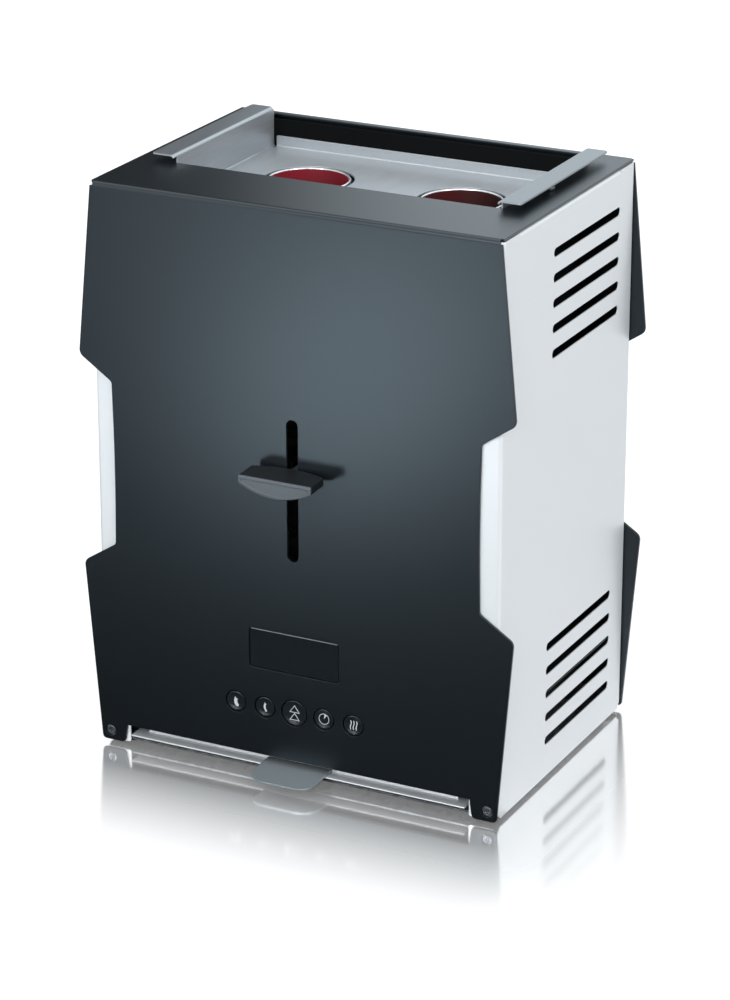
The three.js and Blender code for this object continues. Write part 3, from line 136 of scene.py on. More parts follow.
class Recipe:
    """The nodes of one finish. Constants are set on the shader, varying values are linked to it."""

    def __init__(self, name, **constants):
        self.material = bpy.data.materials.new(name)
        self.material.use_nodes = True
        self.tree = self.material.node_tree
        self.shader = self.tree.nodes["Principled BSDF"]
        self.output = self.tree.nodes["Material Output"]
        self.surface(**constants)
        self.place = self.node("TexCoord", output="Object")

    def node(self, kind, *inputs, output=0, named=None, **settings):
        made = self.tree.nodes.new("ShaderNode" + kind)
        for key, value in settings.items():
            setattr(made, key, value)
        for socket, value in [*enumerate(inputs), *(named or {}).items()]:
            self.feed(made.inputs[socket], value)
        return Value(self, made.outputs[output])

    def feed(self, socket, value):
        """Links a varying value to a socket, or sets it to a constant or a hex code's colour."""
        if isinstance(value, Value):
            self.tree.links.new(value.socket, socket)
        else:
            socket.default_value = colour(value) if isinstance(value, str) else value

    def surface(self, **values):
        for socket, value in values.items():
            self.feed(self.shader.inputs[socket.replace("_", " ")], value)
        return self.material

    def along(self, axis):
        return self.node("SeparateXYZ", self.place, output=axis)

    def noise(self, scale, detail=2, stretch=(1, 1, 1)):
        place = self.node("Mapping", named={"Vector": self.place, "Scale": stretch})
        return self.node("TexNoise", named={"Vector": place, "Scale": scale, "Detail": detail})

    def bands(self, scale):
        named = {"Vector": self.place, "Scale": scale}
        return self.node("TexWave", named=named, bands_direction="Z", wave_type="BANDS")

    def mix(self, share, first, second):
        return self.node("Mix", named={0: share, 6: first, 7: second}, output=2, data_type="RGBA")

    def bump(self, height, depth, strength=1):
        return self.node("Bump", named={"Height": height, "Distance": depth, "Strength": strength})


def colour(code):
    """The colour of a hex code such as 1b2127, for a shader."""
    parts = [int(code[i : i + 2], 16) / 255 for i in (0, 2, 4)]
    return (*[p / 12.92 if p <= 0.04045 else ((p + 0.055) / 1.055) ** 2.4 for p in parts], 1)


def stage_sheet(name, recipe, width, depth, place=(0, 0, 0), turn=(0, 0, 0)):
    """A flat sheet of the stage: its own X runs across it and its own Y along it."""
    mesh = bmesh.new()
    bmesh.ops.create_grid(mesh, x_segments=1, y_segments=1, size=1)
    bmesh.ops.scale(mesh, vec=(width / 2, depth / 2, 1), verts=mesh.verts)
    data = bpy.data.meshes.new(name)
    mesh.to_mesh(data)
    mesh.free()
    data.materials.append(recipe.material)
    sheet = bpy.data.objects.new(name, data)
    sheet.location, sheet.rotation_euler = place, turn
    scene.collection.objects.link(sheet)
    sheet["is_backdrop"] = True
    return sheet


floor_size = 24
floor_white = "a6a8aa"
floor_lift = 0.7
floor_far = 2
floor_far_lift = 0.86
mirror_share = 0.8
mirror_reach = 0.118
mirror_falloff = 1.5
mirror_blur = 0.12

recipe = Recipe("floor_white")
outside_x = (abs(recipe.along("X")) - cad_high.x).at_least(0)
outside_y = (abs(recipe.along("Y")) - cad_high.y).at_least(0)
distance = (outside_x**2 + outside_y**2) ** 0.5
fading = (1 - distance / mirror_reach).at_least(0) ** mirror_falloff
mirror = recipe.node("BsdfAnisotropic", (1, 1, 1, 1), mirror_blur)
matt = recipe.node("BsdfDiffuse", floor_white)
seen = recipe.node("LightPath", output="Is Camera Ray")
for kind in ("Is Glossy Ray", "Is Transmission Ray"):
    seen = seen.at_least(recipe.node("LightPath", output=kind))
far = (distance / floor_far).at_most(1)
lifting = floor_lift + (floor_far_lift - floor_lift) * far
lift = recipe.node("Emission", (1, 1, 1, 1), seen * lifting * (1 - fading * mirror_share))
floor = recipe.node("AddShader", recipe.node("MixShader", fading * mirror_share, matt, mirror), lift)
recipe.feed(recipe.output.inputs["Surface"], floor)
stage_sheet("floor", recipe, floor_size, floor_size)

card_tint = (0.86, 0.95, 1, 1)


def reflected_card(name, recipe, brightness, width, depth, place, turn):
    """A card whose front shows in mirrors alone: lamps and eyes pass it."""
    front = recipe.node("Emission", card_tint, brightness)
    behind = recipe.node("NewGeometry", output="Backfacing")
    clear = recipe.node("BsdfTransparent")
    recipe.feed(recipe.output.inputs["Surface"], recipe.node("MixShader", behind, front, clear))
    card = stage_sheet(name, recipe, width, depth, place, turn)
    card.visible_camera = card.visible_diffuse = card.visible_shadow = False


# Lying before the toaster: black with a soft clear window in its middle.
front_card_place = (-0.28, -0.72, 0.0015)
front_card_turn = math.radians(-27.5)
front_card_width = 1.3
front_card_depth = 1.54
front_card_black = 0.03
window_light = 23
window_half_width = 0.105
window_half_depth = 0.32

recipe = Recipe("front_card")
across = recipe.along("X") / window_half_width
along = recipe.along("Y") / window_half_depth
glow = (1 - across**2 - along**2).at_least(0) ** 2
reflected_card(
    "front_card", recipe, front_card_black + window_light * glow,
    front_card_width, front_card_depth, front_card_place, (0, 0, front_card_turn),
)

# Hanging behind the toaster, above what the floor mirrors: dark left, bright right.
back_card_place = (-0.4, 0.4, 0.83)
back_card_width = 2.4
back_card_height = 1
back_card_dark = 0.04
back_card_bright = 1.5
fade_start = 0.06
fade_end = 0.28

recipe = Recipe("back_card")
share = recipe.node(
    "MapRange",
    named={"Value": recipe.along("X"), "From Min": fade_start, "From Max": fade_end},
    interpolation_type="SMOOTHSTEP",
)
reflected_card(
    "back_card", recipe, back_card_dark + (back_card_bright - back_card_dark) * share,
    back_card_width, back_card_height, back_card_place, (math.pi / 2, 0, 0),
)

surroundings_seen = 1
surroundings_light = 0.5

world = bpy.data.worlds.new("surroundings")
world.use_nodes = True
scene.world = world
nodes, links = world.node_tree.nodes, world.node_tree.links
background = nodes["Background"]
background.inputs["Color"].default_value = (1, 1, 1, 1)
rays = nodes.new("ShaderNodeLightPath")
seen = rays.outputs["Is Camera Ray"]
for kind in ("Is Glossy Ray", "Is Transmission Ray"):
    either = nodes.new("ShaderNodeMath")
    either.operation = "MAXIMUM"
    links.new(seen, either.inputs[0])
    links.new(rays.outputs[kind], either.inputs[1])
    seen = either.outputs[0]
strength = nodes.new("ShaderNodeMapRange")
strength.inputs["To Min"].default_value = surroundings_light
strength.inputs["To Max"].default_value = surroundings_seen
links.new(seen, strength.inputs["Value"])
links.new(strength.outputs[0], background.inputs["Strength"])

lamp_aim = Vector((0, 0, 0.16))


def lamp(name, place, width, height, power):
    data = bpy.data.lights.new(name, "AREA")
    data.shape = "RECTANGLE"
    data.size, data.size_y = width, height
    data.energy = power
    made = bpy.data.objects.new(name, data)
    made.location = place
    made.rotation_euler = (lamp_aim - Vector(place)).to_track_quat("-Z", "Y").to_euler()
    scene.collection.objects.link(made)


lamp("overhead", (-0.2, 0.1, 2.2), width=1.8, height=1.8, power=20)
lamp("right", (2.0, -0.9, 1.8), width=1.5, height=1.5, power=33)
lamp("front", (0, -2.4, 1.3), width=1.6, height=1.2, power=56)


# Base plate and feet
# A galvanised plate with its sides and back turned up carries the whole machine. A
# turned rubber foot with a stem is pushed through each of its corners, and a rubber
# strip on each end of its back edge closes the slit to the cover.
crease = math.radians(30)
flat = math.radians(1)
weld = 1e-6
sides = {"left": -1, "right": 1}


def eased(mesh, width, segments=2):
    """Rounds every edge that is sharper than a crease."""
    bmesh.ops.recalc_face_normals(mesh, faces=mesh.faces)
    sharp = [e for e in mesh.edges if len(e.link_faces) == 2 and e.calc_face_angle() > crease]
    bmesh.ops.bevel(
        mesh, geom=sharp, offset=width, segments=segments,
        affect="EDGES", profile=0.5, material=-1, clamp_overlap=True,
    )
    return mesh


def merged(name):
    """A part's own mesh with its triangles joined into whole faces."""
    mesh = bmesh.new()
    mesh.from_mesh(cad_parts[name].data)
    bmesh.ops.remove_doubles(mesh, verts=mesh.verts, dist=weld)
    bmesh.ops.dissolve_limit(mesh, angle_limit=flat, verts=mesh.verts, edges=mesh.edges)
    return mesh


def piece(name, mesh, finish, slot, body, *nodes):
    """A finished piece: it rides on a body and stands for the parts named last."""
    data = bpy.data.meshes.new(name)
    mesh.to_mesh(data)
    mesh.free()
    data.shade_smooth()
    data.set_sharp_from_angle(angle=crease)
    data.materials.append(finish)
    made = bpy.data.objects.new(name, data)
    scene.collection.objects.link(made)
    made.modifiers.new("even shading", "WEIGHTED_NORMAL").keep_sharp = True
    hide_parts(*nodes)
    if body:
        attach(made, body)
    return made


def coat(finish, *names):
    """Gives parts their finish as they are."""
    for name in names:
        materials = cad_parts[name].data.materials
        materials.clear()
        materials.append(finish)


def turned(profile, steps=48):
    """A body spun about the vertical from (radius, height) points, which end on the axis or close."""
    mesh = bmesh.new()
    points = [mesh.verts.new((radius, 0, height)) for radius, height in profile]
    edges = [mesh.edges.new(pair) for pair in zip(points, points[1:])]
    if profile[0][0] > 0:
        edges.append(mesh.edges.new((points[-1], points[0])))
    bmesh.ops.spin(
        mesh, geom=points + edges, cent=(0, 0, 0), axis=(0, 0, 1),
        angle=2 * math.pi, steps=steps, use_merge=True,
    )
    bmesh.ops.remove_doubles(mesh, verts=mesh.verts, dist=weld)
    bmesh.ops.recalc_face_normals(mesh, faces=mesh.faces)
    return mesh


def moved(mesh, place):
    """Puts a mesh at a place, or through a matrix."""
    matrix = place if isinstance(place, Matrix) else Matrix.Translation(place)
    bmesh.ops.transform(mesh, matrix=matrix, verts=mesh.verts)
    bmesh.ops.recalc_face_normals(mesh, faces=mesh.faces)
    return mesh


def mottled(name, tones, roughness, scale, detail=2, relief=None, **constants):
    """A finish whose tone and roughness vary together, from the first to the second of each.

    relief, where there is one, is the depth and the strength of its bumps.
    """
    recipe = Recipe(name, **constants)
    share = recipe.noise(scale, detail)
    if relief:
        recipe.surface(Normal=recipe.bump(share, *relief))
    return recipe.surface(
        Base_Color=recipe.mix(share, *tones),
        Roughness=roughness[0] + (roughness[1] - roughness[0]) * share,
    )


def zinc(name, tone):
    """Galvanised sheet: a bright metal with faint spangles and a clouded sheen."""
    recipe = Recipe(name, Metallic=0.85)
    spangle = recipe.node("TexVoronoi", named={"Vector": recipe.place, "Scale": 240}, output="Color")
    share = recipe.node("SeparateColor", spangle) * 0.35
    clouds = recipe.noise(60)
    return recipe.surface(
        Base_Color=recipe.mix(share, tone, "c6ccd0"),
        Roughness=0.34 + 0.16 * clouds,
        Normal=recipe.bump(clouds, depth=0.0001, strength=0.3),
    )


plate_edge = 0.0002
foot_pad = 0.0034
foot_stem = 0.002
foot_edge = 0.0008
strip_x = 0.102
strip_length = 0.0155
strip_depth = 0.001
strip_bottom = 0.0128
strip_height = 0.0028
strip_edge = 0.0002

galvanised = zinc("galvanised_sheet", "6c7378")
plate = eased(merged("base_plate"), plate_edge)
piece("bottom_plate", plate, galvanised, "inner_steel", "housing", "base_plate")

rubber = mottled(
    "foot_rubber", ("161718", "26282a"), roughness=(0.75, 0.9),
    scale=1800, relief=(0.0001, 0.5), Specular_IOR_Level=0.3,
)
low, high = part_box("base_plate")
for side, sign in sides.items():
    strip = bmesh.new()
    bmesh.ops.create_cube(strip, size=1)
    bmesh.ops.scale(strip, vec=(strip_length, strip_depth, strip_height), verts=strip.verts)
    eased(strip, strip_edge)
    moved(strip, (sign * strip_x, high.y - strip_depth / 2, strip_bottom + strip_height / 2))
    piece(f"edge_strip_{side}", strip, rubber, "foot_rubber", "housing")

for corner in ("front_left", "front_right", "back_left", "back_right"):
    low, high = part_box(f"foot_{corner}")
    radius = (high.x - low.x) / 2
    profile = [
        (0, 0), (radius, 0), (radius, foot_pad),
        (foot_stem, foot_pad), (foot_stem, high.z), (0, high.z),
    ]
    middle = (low + high) / 2
    foot = moved(eased(turned(profile), foot_edge), (middle.x, middle.y, 0))
    piece(f"rubber_foot_{corner}", foot, rubber, "foot_rubber", "housing", f"foot_{corner}")


# Crumb tray
# A pan of bright stainless sheet with a stepped front edge slides in two channels.
# A grey painted tongue on the step, bent a little downwards, pulls it out.
drawing_scale = 1000
ease_steps = 10


def eased_outline(corners):
    """An outline through corners (x, y, ease), each eased over its own distance."""
    points = []
    for i, (x, y, ease) in enumerate(corners):
        corner = Vector((x, y))
        before = Vector(corners[i - 1][:2]) - corner
        after = Vector(corners[(i + 1) % len(corners)][:2]) - corner
        if not ease:
            points.append(corner)
            continue
        start, end = corner + before.normalized() * ease, corner + after.normalized() * ease
        for step in range(ease_steps + 1):
            t = step / ease_steps
            points.append(start * (1 - t) ** 2 + corner * 2 * t * (1 - t) + end * t**2)
    return points


def flat_sheet(thickness, edge, outer, *holes):
    """A sheet cut along flat outlines, with eased edges and its upper face at zero height."""
    drawing = bpy.data.curves.new("drawing", "CURVE")
    drawing.dimensions = "2D"
    drawing.fill_mode = "BOTH"
    drawing.bevel_resolution = 1
    drawing.extrude = (thickness / 2 - edge) * drawing_scale
    drawing.bevel_depth = edge * drawing_scale
    drawing.offset = -edge * drawing_scale
    for outline in (outer, *holes):
        spline = drawing.splines.new("POLY")
        spline.points.add(len(outline) - 1)
        for point, (x, y) in zip(spline.points, outline):
            point.co = (x * drawing_scale, y * drawing_scale, 0, 1)
        spline.use_cyclic_u = True
    drawn = bpy.data.objects.new("drawing", drawing)
    scene.collection.objects.link(drawn)
    mesh = bmesh.new()
    mesh.from_mesh(drawn.to_mesh())
    bpy.data.objects.remove(drawn)
    bpy.data.curves.remove(drawing)
    bmesh.ops.remove_doubles(mesh, verts=mesh.verts, dist=weld * drawing_scale)
    bmesh.ops.scale(mesh, vec=(1 / drawing_scale,) * 3, verts=mesh.verts)
    return moved(mesh, (0, 0, -thickness / 2))


def fold(mesh, start, towards, turn, radius, thickness, reach=None, steps=8):
    """Bends what lies beyond a line, up or down, round an outer radius.

    start is on the line and towards points across it. With reach, only what lies within
    that distance of start along the line is bent.
    """
    start, towards = Vector((*start, 0)), Vector((*towards, 0))
    side = math.copysign(1, turn)
    length = radius * abs(turn)
    for step in range(steps + 1):
        bmesh.ops.bisect_plane(
            mesh, geom=[*mesh.verts, *mesh.edges, *mesh.faces], dist=weld,
            plane_co=start + towards * length * step / steps, plane_no=towards,
        )
    inner = radius - thickness
    centre = inner if turn > 0 else -thickness - inner
    for vertex in mesh.verts:
        offset = vertex.co - start
        ahead = offset.dot(towards)
        aside = abs(offset.x * towards.y - offset.y * towards.x)
        if ahead <= 0 or (reach and aside > reach):
            continue
        angle = min(ahead / length, 1) * abs(turn)
        rest = max(ahead - length, 0)
        arm = side * (centre - vertex.co.z)
        vertex.co += towards * (arm * math.sin(angle) + rest * math.cos(angle) - ahead)
        vertex.co.z = centre + side * (rest * math.sin(angle) - arm * math.cos(angle))
    return mesh


def brushed(name, tone, bright, roughness, metal=0.9, stretch=(1, 1, 1)):
    """Rolled or brushed steel: fine streaks along one way and a clouded sheen."""
    recipe = Recipe(name, Metallic=metal)
    streaks = recipe.noise(1400, 4, stretch)
    clouds = recipe.noise(25)
    return recipe.surface(
        Base_Color=recipe.mix(0.6 * streaks + 0.3 * clouds, tone, bright),
        Roughness=roughness - 0.08 + 0.16 * streaks + 0.08 * clouds,
        Normal=recipe.bump(streaks, depth=0.00004, strength=0.25),
    )


tray_edge = 0.0003
pull_sheet = 0.0012
pull_corner = 0.0115
pull_bend_line = -0.0788
pull_drop_angle = math.radians(7)
pull_bend = 0.006

channel_steel = zinc("channel_steel", "7d8489")
coat(channel_steel, "tray_runner_left", "tray_runner_right")

tray_steel = brushed(
    "bright_tray_steel", "b4babf", "e2e6e9", roughness=0.3, metal=0.5, stretch=(0.02, 1, 1)
)
pan = eased(merged("crumb_tray"), tray_edge)
piece("pan", pan, tray_steel, "tray_steel", "drawer", "crumb_tray")

low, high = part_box("crumb_tray_pull")
tongue = flat_sheet(pull_sheet, tray_edge, eased_outline([
    (high.x, high.y, 0),
    (low.x, high.y, 0),
    (low.x, low.y, pull_corner),
    (high.x, low.y, pull_corner),
]))
fold(tongue, (0, pull_bend_line), (0, -1), -pull_drop_angle, pull_bend, pull_sheet)
moved(tongue, (0, 0, high.z))
pull_grey = brushed("satin_grey_tongue", "8e999f", "a5afb5", roughness=0.34, metal=0.65)
piece("tongue", tongue, pull_grey, "pull_grey", "drawer", "crumb_tray_pull")


# Heating chambers
# Two tubes of sheet steel stand between a floor and a roof plate, inside shields
# on all four sides. A collar in the roof leads up to each hole of the rack. Heat
# has tinted the tubes brown. Below their bright rims the collars carry a painted
# crimson glow, stronger towards the left and near the top, and painted shade
# darkens them towards the right.
collar_sheet = 0.0007
collar_clearance = 0.0025
collar_above_rack = 0.0004
collar_height = 0.015
collar_rim = 0.0007
collar_painted_glow_reach = 0.11
upright = Matrix.Rotation(math.pi / 2, 4, "X")

# Painted shade: the side shields, the lower shields and the chamber floor are near black, so that
# what shows through the side vents is dark.
shade_dark_steel = mottled(
    "shade_dark_shield_steel", ("15191d", "262c31"), roughness=(0.45, 0.6),
    scale=40, detail=3, Metallic=0.6,
)
coat(galvanised, "front_shield", "back_shield")
coat(shade_dark_steel, "chamber_floor")
for side in sides:
    coat(shade_dark_steel, f"side_shield_{side}", f"lower_shield_{side}")
roof = eased(merged("chamber_roof"), plate_edge)
piece("roof_plate", roof, galvanised, "inner_steel", "housing", "chamber_roof")

tinted_steel = mottled(
    "heat_tinted_steel", ("5d4a40", "7f7872"), roughness=(0.38, 0.56),
    scale=30, detail=3, relief=(0.0002, 0.2), Metallic=0.8,
)
rack_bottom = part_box("bun_rack")[0].z
# Painted light: a crimson glow in a part that is no lamp, strongest to the left and at the top, with
# painted shade in the base colour towards the right.
recipe = Recipe("painted_glow_collar", Metallic=0.4, Emission_Strength=0.16)
tint = recipe.noise(60, 3)
depth = (rack_bottom - recipe.along("Z")) / collar_height
painted_glow_share = 0.5 - recipe.along("X") / collar_painted_glow_reach
glow_red = recipe.mix(tint, "6a1a24", "4a1c1c")
painted_glow_collar = recipe.surface(
    Base_Color=recipe.mix(painted_glow_share, "24100e", glow_red),
    Roughness=0.4 + 0.15 * tint,
    Emission_Color=recipe.mix(painted_glow_share * (1 - depth), "2a1210", "d01842"),
)
bright_rim = brushed("bright_rim", "c4c8cb", "eceef0", roughness=0.2, metal=0.8)


def hoop(radius, wire, height, steps=64, section_steps=12):
    """A level ring of round wire."""
    mesh = bmesh.new()
    place = Matrix.Translation((radius, 0, height)) @ upright
    section = bmesh.ops.create_circle(
        mesh, segments=section_steps, radius=wire, matrix=place
    )["verts"]
    bmesh.ops.spin(
        mesh, geom=[*section, *mesh.edges], cent=(0, 0, 0), axis=(0, 0, 1),
        angle=2 * math.pi, steps=steps, use_merge=True,
    )
    bmesh.ops.recalc_face_normals(mesh, faces=mesh.faces)
    return mesh


for side in sides:
    name = f"chamber_{side}"
    piece(f"tube_{side}", merged(name), tinted_steel, "inner_steel", "housing", name)
    low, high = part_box(f"basket_{side}")
    middle = (low + high) / 2
    outside = (high.x - low.x) / 2 + collar_clearance
    inside = outside - collar_sheet
    top = rack_bottom + collar_above_rack
    bottom = top - collar_height
    profile = [(inside, top), (outside, top), (outside, bottom), (inside, bottom)]
    collar = turned(profile, steps=72)
    moved(collar, (middle.x, middle.y, 0))
    piece(f"collar_{side}", collar, painted_glow_collar, "inner_steel", "housing")
    rim = moved(hoop(outside, collar_rim, top), (middle.x, middle.y, 0))
    piece(f"collar_rim_{side}", rim, bright_rim, "inner_steel", "housing")


# Heaters
# Three quartz rods glow dull red round each tube. Each is held by a white ceramic
# cap and a pin at both ends.
heater_rod = 0.0032
heater_cap = 0.004
heater_cap_length = 0.009
heater_pin = 0.0016
heater_pin_length = 0.003
heater_edge = 0.0004
heater_glow = 1.6


def middle_of(name):
    """The middle of a part's box."""
    low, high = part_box(name)
    return (low + high) / 2


low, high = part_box("heater_left_1")
cap_bottom, cap_top = low.z + heater_pin_length, high.z - heater_pin_length
rod_bottom, rod_top = cap_bottom + heater_cap_length, cap_top - heater_cap_length
recipe = Recipe("quartz_and_ceramic")
height = recipe.along("Z")
quartz = (height > rod_bottom) * (height < rod_top)
glow = recipe.mix(recipe.bands(160), "ff2a0c", "8c0f04")
quartz_and_ceramic = recipe.surface(
    Base_Color=recipe.mix(quartz, "e4e0d8", "7c1f14"),
    Roughness=0.6 - 0.45 * quartz,
    Emission_Color=recipe.mix(quartz, "000000", glow),
    Emission_Strength=heater_glow,
)
heater_profile = [
    (0, low.z), (heater_pin, low.z), (heater_pin, cap_bottom), (heater_cap, cap_bottom),
    (heater_cap, rod_bottom), (heater_rod, rod_bottom), (heater_rod, rod_top),
    (heater_cap, rod_top), (heater_cap, cap_top), (heater_pin, cap_top),
    (heater_pin, high.z), (0, high.z),
]
for side in sides:
    for number in (1, 2, 3):
        name = f"heater_{side}_{number}"
        middle = middle_of(name)
        rod = moved(eased(turned(heater_profile, steps=24), heater_edge), (middle.x, middle.y, 0))
        piece(f"rod_{side}_{number}", rod, quartz_and_ceramic, "heater_quartz", "housing", name)


# Carriage and its guides
# The carriage slides on two ground rods between two brackets. A magnet below holds
# it by a keeper plate, and a bright coil spring under the upper bracket lifts it.
carriage_edge = 0.0003
rod_radius = 0.003
rod_head = 0.0045
rod_head_height = 0.0015

carriage_steel = zinc("carriage_steel", "868d92")
coat(carriage_steel, "rod_bracket_upper", "rod_bracket_lower", "keeper_plate")
slide = eased(merged("carriage"), carriage_edge, segments=1)
piece("slide", slide, carriage_steel, "inner_steel", "lift", "carriage")

ground_steel = brushed("ground_steel", "aab0b5", "d8dcdf", roughness=0.18, stretch=(1, 1, 0.05))
for side in sides:
    low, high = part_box(f"guide_rod_{side}")
    middle = (low + high) / 2
    profile = [
        (0, low.z), (rod_radius, low.z), (rod_radius, high.z - rod_head_height),
        (rod_head, high.z - rod_head_height), (rod_head, high.z), (0, high.z),
    ]
    rod = moved(eased(turned(profile), carriage_edge), (middle.x, middle.y, 0))
    piece(f"guide_{side}", rod, ground_steel, "tray_steel", "housing", f"guide_rod_{side}")

recipe = Recipe("magnet_winding", Metallic=0.5)
turns = recipe.bands(320)
winding = recipe.surface(
    Base_Color=recipe.mix(turns, "5b2e16", "a8683c"),
    Roughness=0.35 + 0.2 * turns,
    Normal=recipe.bump(turns, depth=0.0002, strength=0.6),
)
coat(winding, "latch_magnet")

spring_radius = 0.0036
spring_wire = 0.00045
spring_curls = 14
spring_steps = 24
spring_sides = 10

low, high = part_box("lift_spring")
spring_y = (low.y + high.y) / 2
rise = high.z - low.z - 2 * spring_wire
mesh = bmesh.new()
place = Matrix.Translation((spring_radius, spring_y, low.z + spring_wire)) @ upright
section = bmesh.ops.create_circle(
    mesh, segments=spring_sides, radius=spring_wire, matrix=place
)["verts"]
first_end = list(mesh.edges)
last_end = bmesh.ops.spin(
    mesh, geom=[*section, *first_end], cent=(0, spring_y, 0), axis=(0, 0, 1),
    dvec=(0, 0, rise / spring_curls / spring_steps), angle=2 * math.pi * spring_curls,
    steps=spring_curls * spring_steps,
)["geom_last"]
for end in (first_end, [e for e in last_end if isinstance(e, bmesh.types.BMEdge)]):
    bmesh.ops.contextual_create(mesh, geom=end)
bmesh.ops.recalc_face_normals(mesh, faces=mesh.faces)
spring = piece("coil_spring", mesh, ground_steel, "tray_steel", None, "lift_spring")
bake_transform(spring)


# Sausage baskets
# Each basket is welded from chromed wire: three hoops, eight uprights and a round
# bottom plate with three slots that let the fat drip out.
basket_wire = 0.001
basket_plate = 0.0016
basket_wires = 8
hoop_shares = (0.36, 0.7, 1)
wire_sides = 12
drain_reaches = {-0.5: 0.4, 0: 0.62, 0.5: 0.4}


def round_outline(x, y, radius, steps=48):
    angles = [2 * math.pi * i / steps for i in range(steps)]
    return [(x + radius * math.cos(a), y + radius * math.sin(a)) for a in angles]


def slot_outline(start, end, width, steps=12):
    """A slot with round ends between two points of its centre line."""
    start, end = Vector(start), Vector(end)
    heading = math.atan2(end.y - start.y, end.x - start.x)
    points = []
    for centre, first in ((end, heading - math.pi / 2), (start, heading + math.pi / 2)):
        for step in range(steps + 1):
            angle = first + math.pi * step / steps
            points.append(centre + Vector((math.cos(angle), math.sin(angle))) * width / 2)
    return points


def add(mesh, other):
    """Adds another mesh to a mesh."""
    data = bpy.data.meshes.new("part")
    other.to_mesh(data)
    other.free()
    mesh.from_mesh(data)
    bpy.data.meshes.remove(data)
    return mesh


chrome = brushed("chromed_wire", "c6cacd", "eef0f2", roughness=0.14, metal=1)
for side in sides:
    low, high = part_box(f"basket_{side}")
    radius = (high.x - low.x) / 2
    wire_circle = radius - basket_wire
    tall = high.z - low.z
    drains = []
    for across, reach in drain_reaches.items():
        x, y = across * wire_circle, reach * wire_circle
        drains.append(slot_outline((x, -y), (x, y), 2 * basket_wire))
    basket = flat_sheet(basket_plate, plate_edge, round_outline(0, 0, radius), *drains)
    moved(basket, (0, 0, basket_plate))
    for share in hoop_shares:
        add(basket, hoop(wire_circle, basket_wire, share * tall - basket_wire))
    for number in range(basket_wires):
        angle = 2 * math.pi * number / basket_wires
        place = (wire_circle * math.cos(angle), wire_circle * math.sin(angle), tall / 2)
        bmesh.ops.create_cone(
            basket, cap_ends=True, segments=wire_sides, radius1=basket_wire, radius2=basket_wire,
            depth=tall - 2 * basket_wire, matrix=Matrix.Translation(place),
        )
    middle = (low + high) / 2
    moved(basket, (middle.x, middle.y, low.z))
    piece(f"wire_basket_{side}", basket, chrome, "basket_wire", "lift", f"basket_{side}")


# Lever and knob
# A flat steel arm comes through the slot in the cover. The moulded knob on it is a
# level finger plate whose face is a half lens with a thin raised rim.
knob_top_rise = 0.0007
knob_face_edge = 0.0042
knob_face_depth = 0.01
knob_back = 0.0046
knob_back_bow = 0.004
knob_rim = 0.0009
knob_rim_height = 0.0005
knob_round = 0.0006
knob_arc_steps = 32
knob_lit_face_skin = 0.001
knob_boss = 0.005
knob_boss_length = 0.015

arm = eased(merged("lever_arm"), carriage_edge)
piece("arm", arm, ground_steel, "tray_steel", "lift", "lever_arm")

low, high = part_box("lever_knob")
front_top = high.z - knob_top_rise
outline = [(low.x, front_top), (high.x, front_top)]
for step in range(knob_arc_steps + 1):
    share = 1 - 2 * step / knob_arc_steps
    drop = knob_face_edge + (knob_face_depth - knob_face_edge) * (1 - share**2)
    outline.append((high.x * share, front_top - drop))
mesh = bmesh.new()
front = mesh.faces.new([mesh.verts.new((x, low.y, z)) for x, z in outline])
bmesh.ops.extrude_face_region(mesh, geom=[front], use_keep_orig=True)
pushed = [v for v in mesh.verts if v not in front.verts]
long_edges = [e for e in mesh.edges if e.calc_length() > high.x and all(v in pushed for v in e.verts)]
bmesh.ops.subdivide_edges(mesh, edges=long_edges, cuts=knob_arc_steps - 1)
for vertex in [v for v in mesh.verts if v not in front.verts]:
    on_top_edge = vertex.co.z > front_top - weld
    vertex.co.y = high.y - knob_back_bow * (vertex.co.x / high.x) ** 2
    rise = knob_top_rise * (vertex.co.y - low.y) / (high.y - low.y)
    vertex.co.z = front_top + rise if on_top_edge else max(vertex.co.z, front_top + rise - knob_back)
eased(mesh, knob_round, 3)
front = max(mesh.faces, key=lambda f: -f.normal.y * f.calc_area())
bmesh.ops.inset_region(mesh, faces=[front], thickness=knob_rim, use_even_offset=True)
bmesh.ops.inset_region(
    mesh, faces=[front], thickness=knob_rim_height, depth=-knob_rim_height, use_even_offset=True
)
boss_place = Matrix.Translation((0, high.y - knob_boss_length / 2, middle_of("lever_arm").z))
bmesh.ops.create_cone(
    mesh, cap_ends=True, segments=32, radius1=knob_boss, radius2=knob_boss,
    depth=knob_boss_length, matrix=boss_place @ upright,
)
bmesh.ops.recalc_face_normals(mesh, faces=mesh.faces)

recipe = Recipe("knob_plastic", Specular_IOR_Level=0.3)
texture = recipe.noise(2600, 3)
# Painted light: the front face is grey while the rest of the knob is black, as if lit from the front.
face = recipe.along("Y") < low.y + knob_lit_face_skin
knob_black = recipe.mix(texture, "0c1013", "151a1e")
knob_face_painted_light = recipe.mix(texture, "464c52", "52595f")
knob_plastic = recipe.surface(
    Base_Color=recipe.mix(face, knob_black, knob_face_painted_light),
    Roughness=0.46 + 0.08 * texture - 0.12 * face,
    Normal=recipe.bump(texture, depth=0.00005, strength=0.3),
)
piece("finger_plate", mesh, knob_plastic, "black_plastic", "lift", "lever_knob")


# Display and buttons
# A black plastic housing behind the cover holds the display, its smoked lens and the
# board. The dished round keys carry pale printed symbols of the programmes.
lens_edge = 0.0003

moulded_black = mottled(
    "moulded_black", ("111417", "1a1e22"), roughness=(0.36, 0.48),
    scale=2600, detail=3, relief=(0.00005, 0.3), Specular_IOR_Level=0.4,
)
coat(moulded_black, "control_housing")

display_glass = mottled("display_glass", ("060809", "0d1113"), roughness=(0.12, 0.17), scale=300)
coat(display_glass, "display_module")

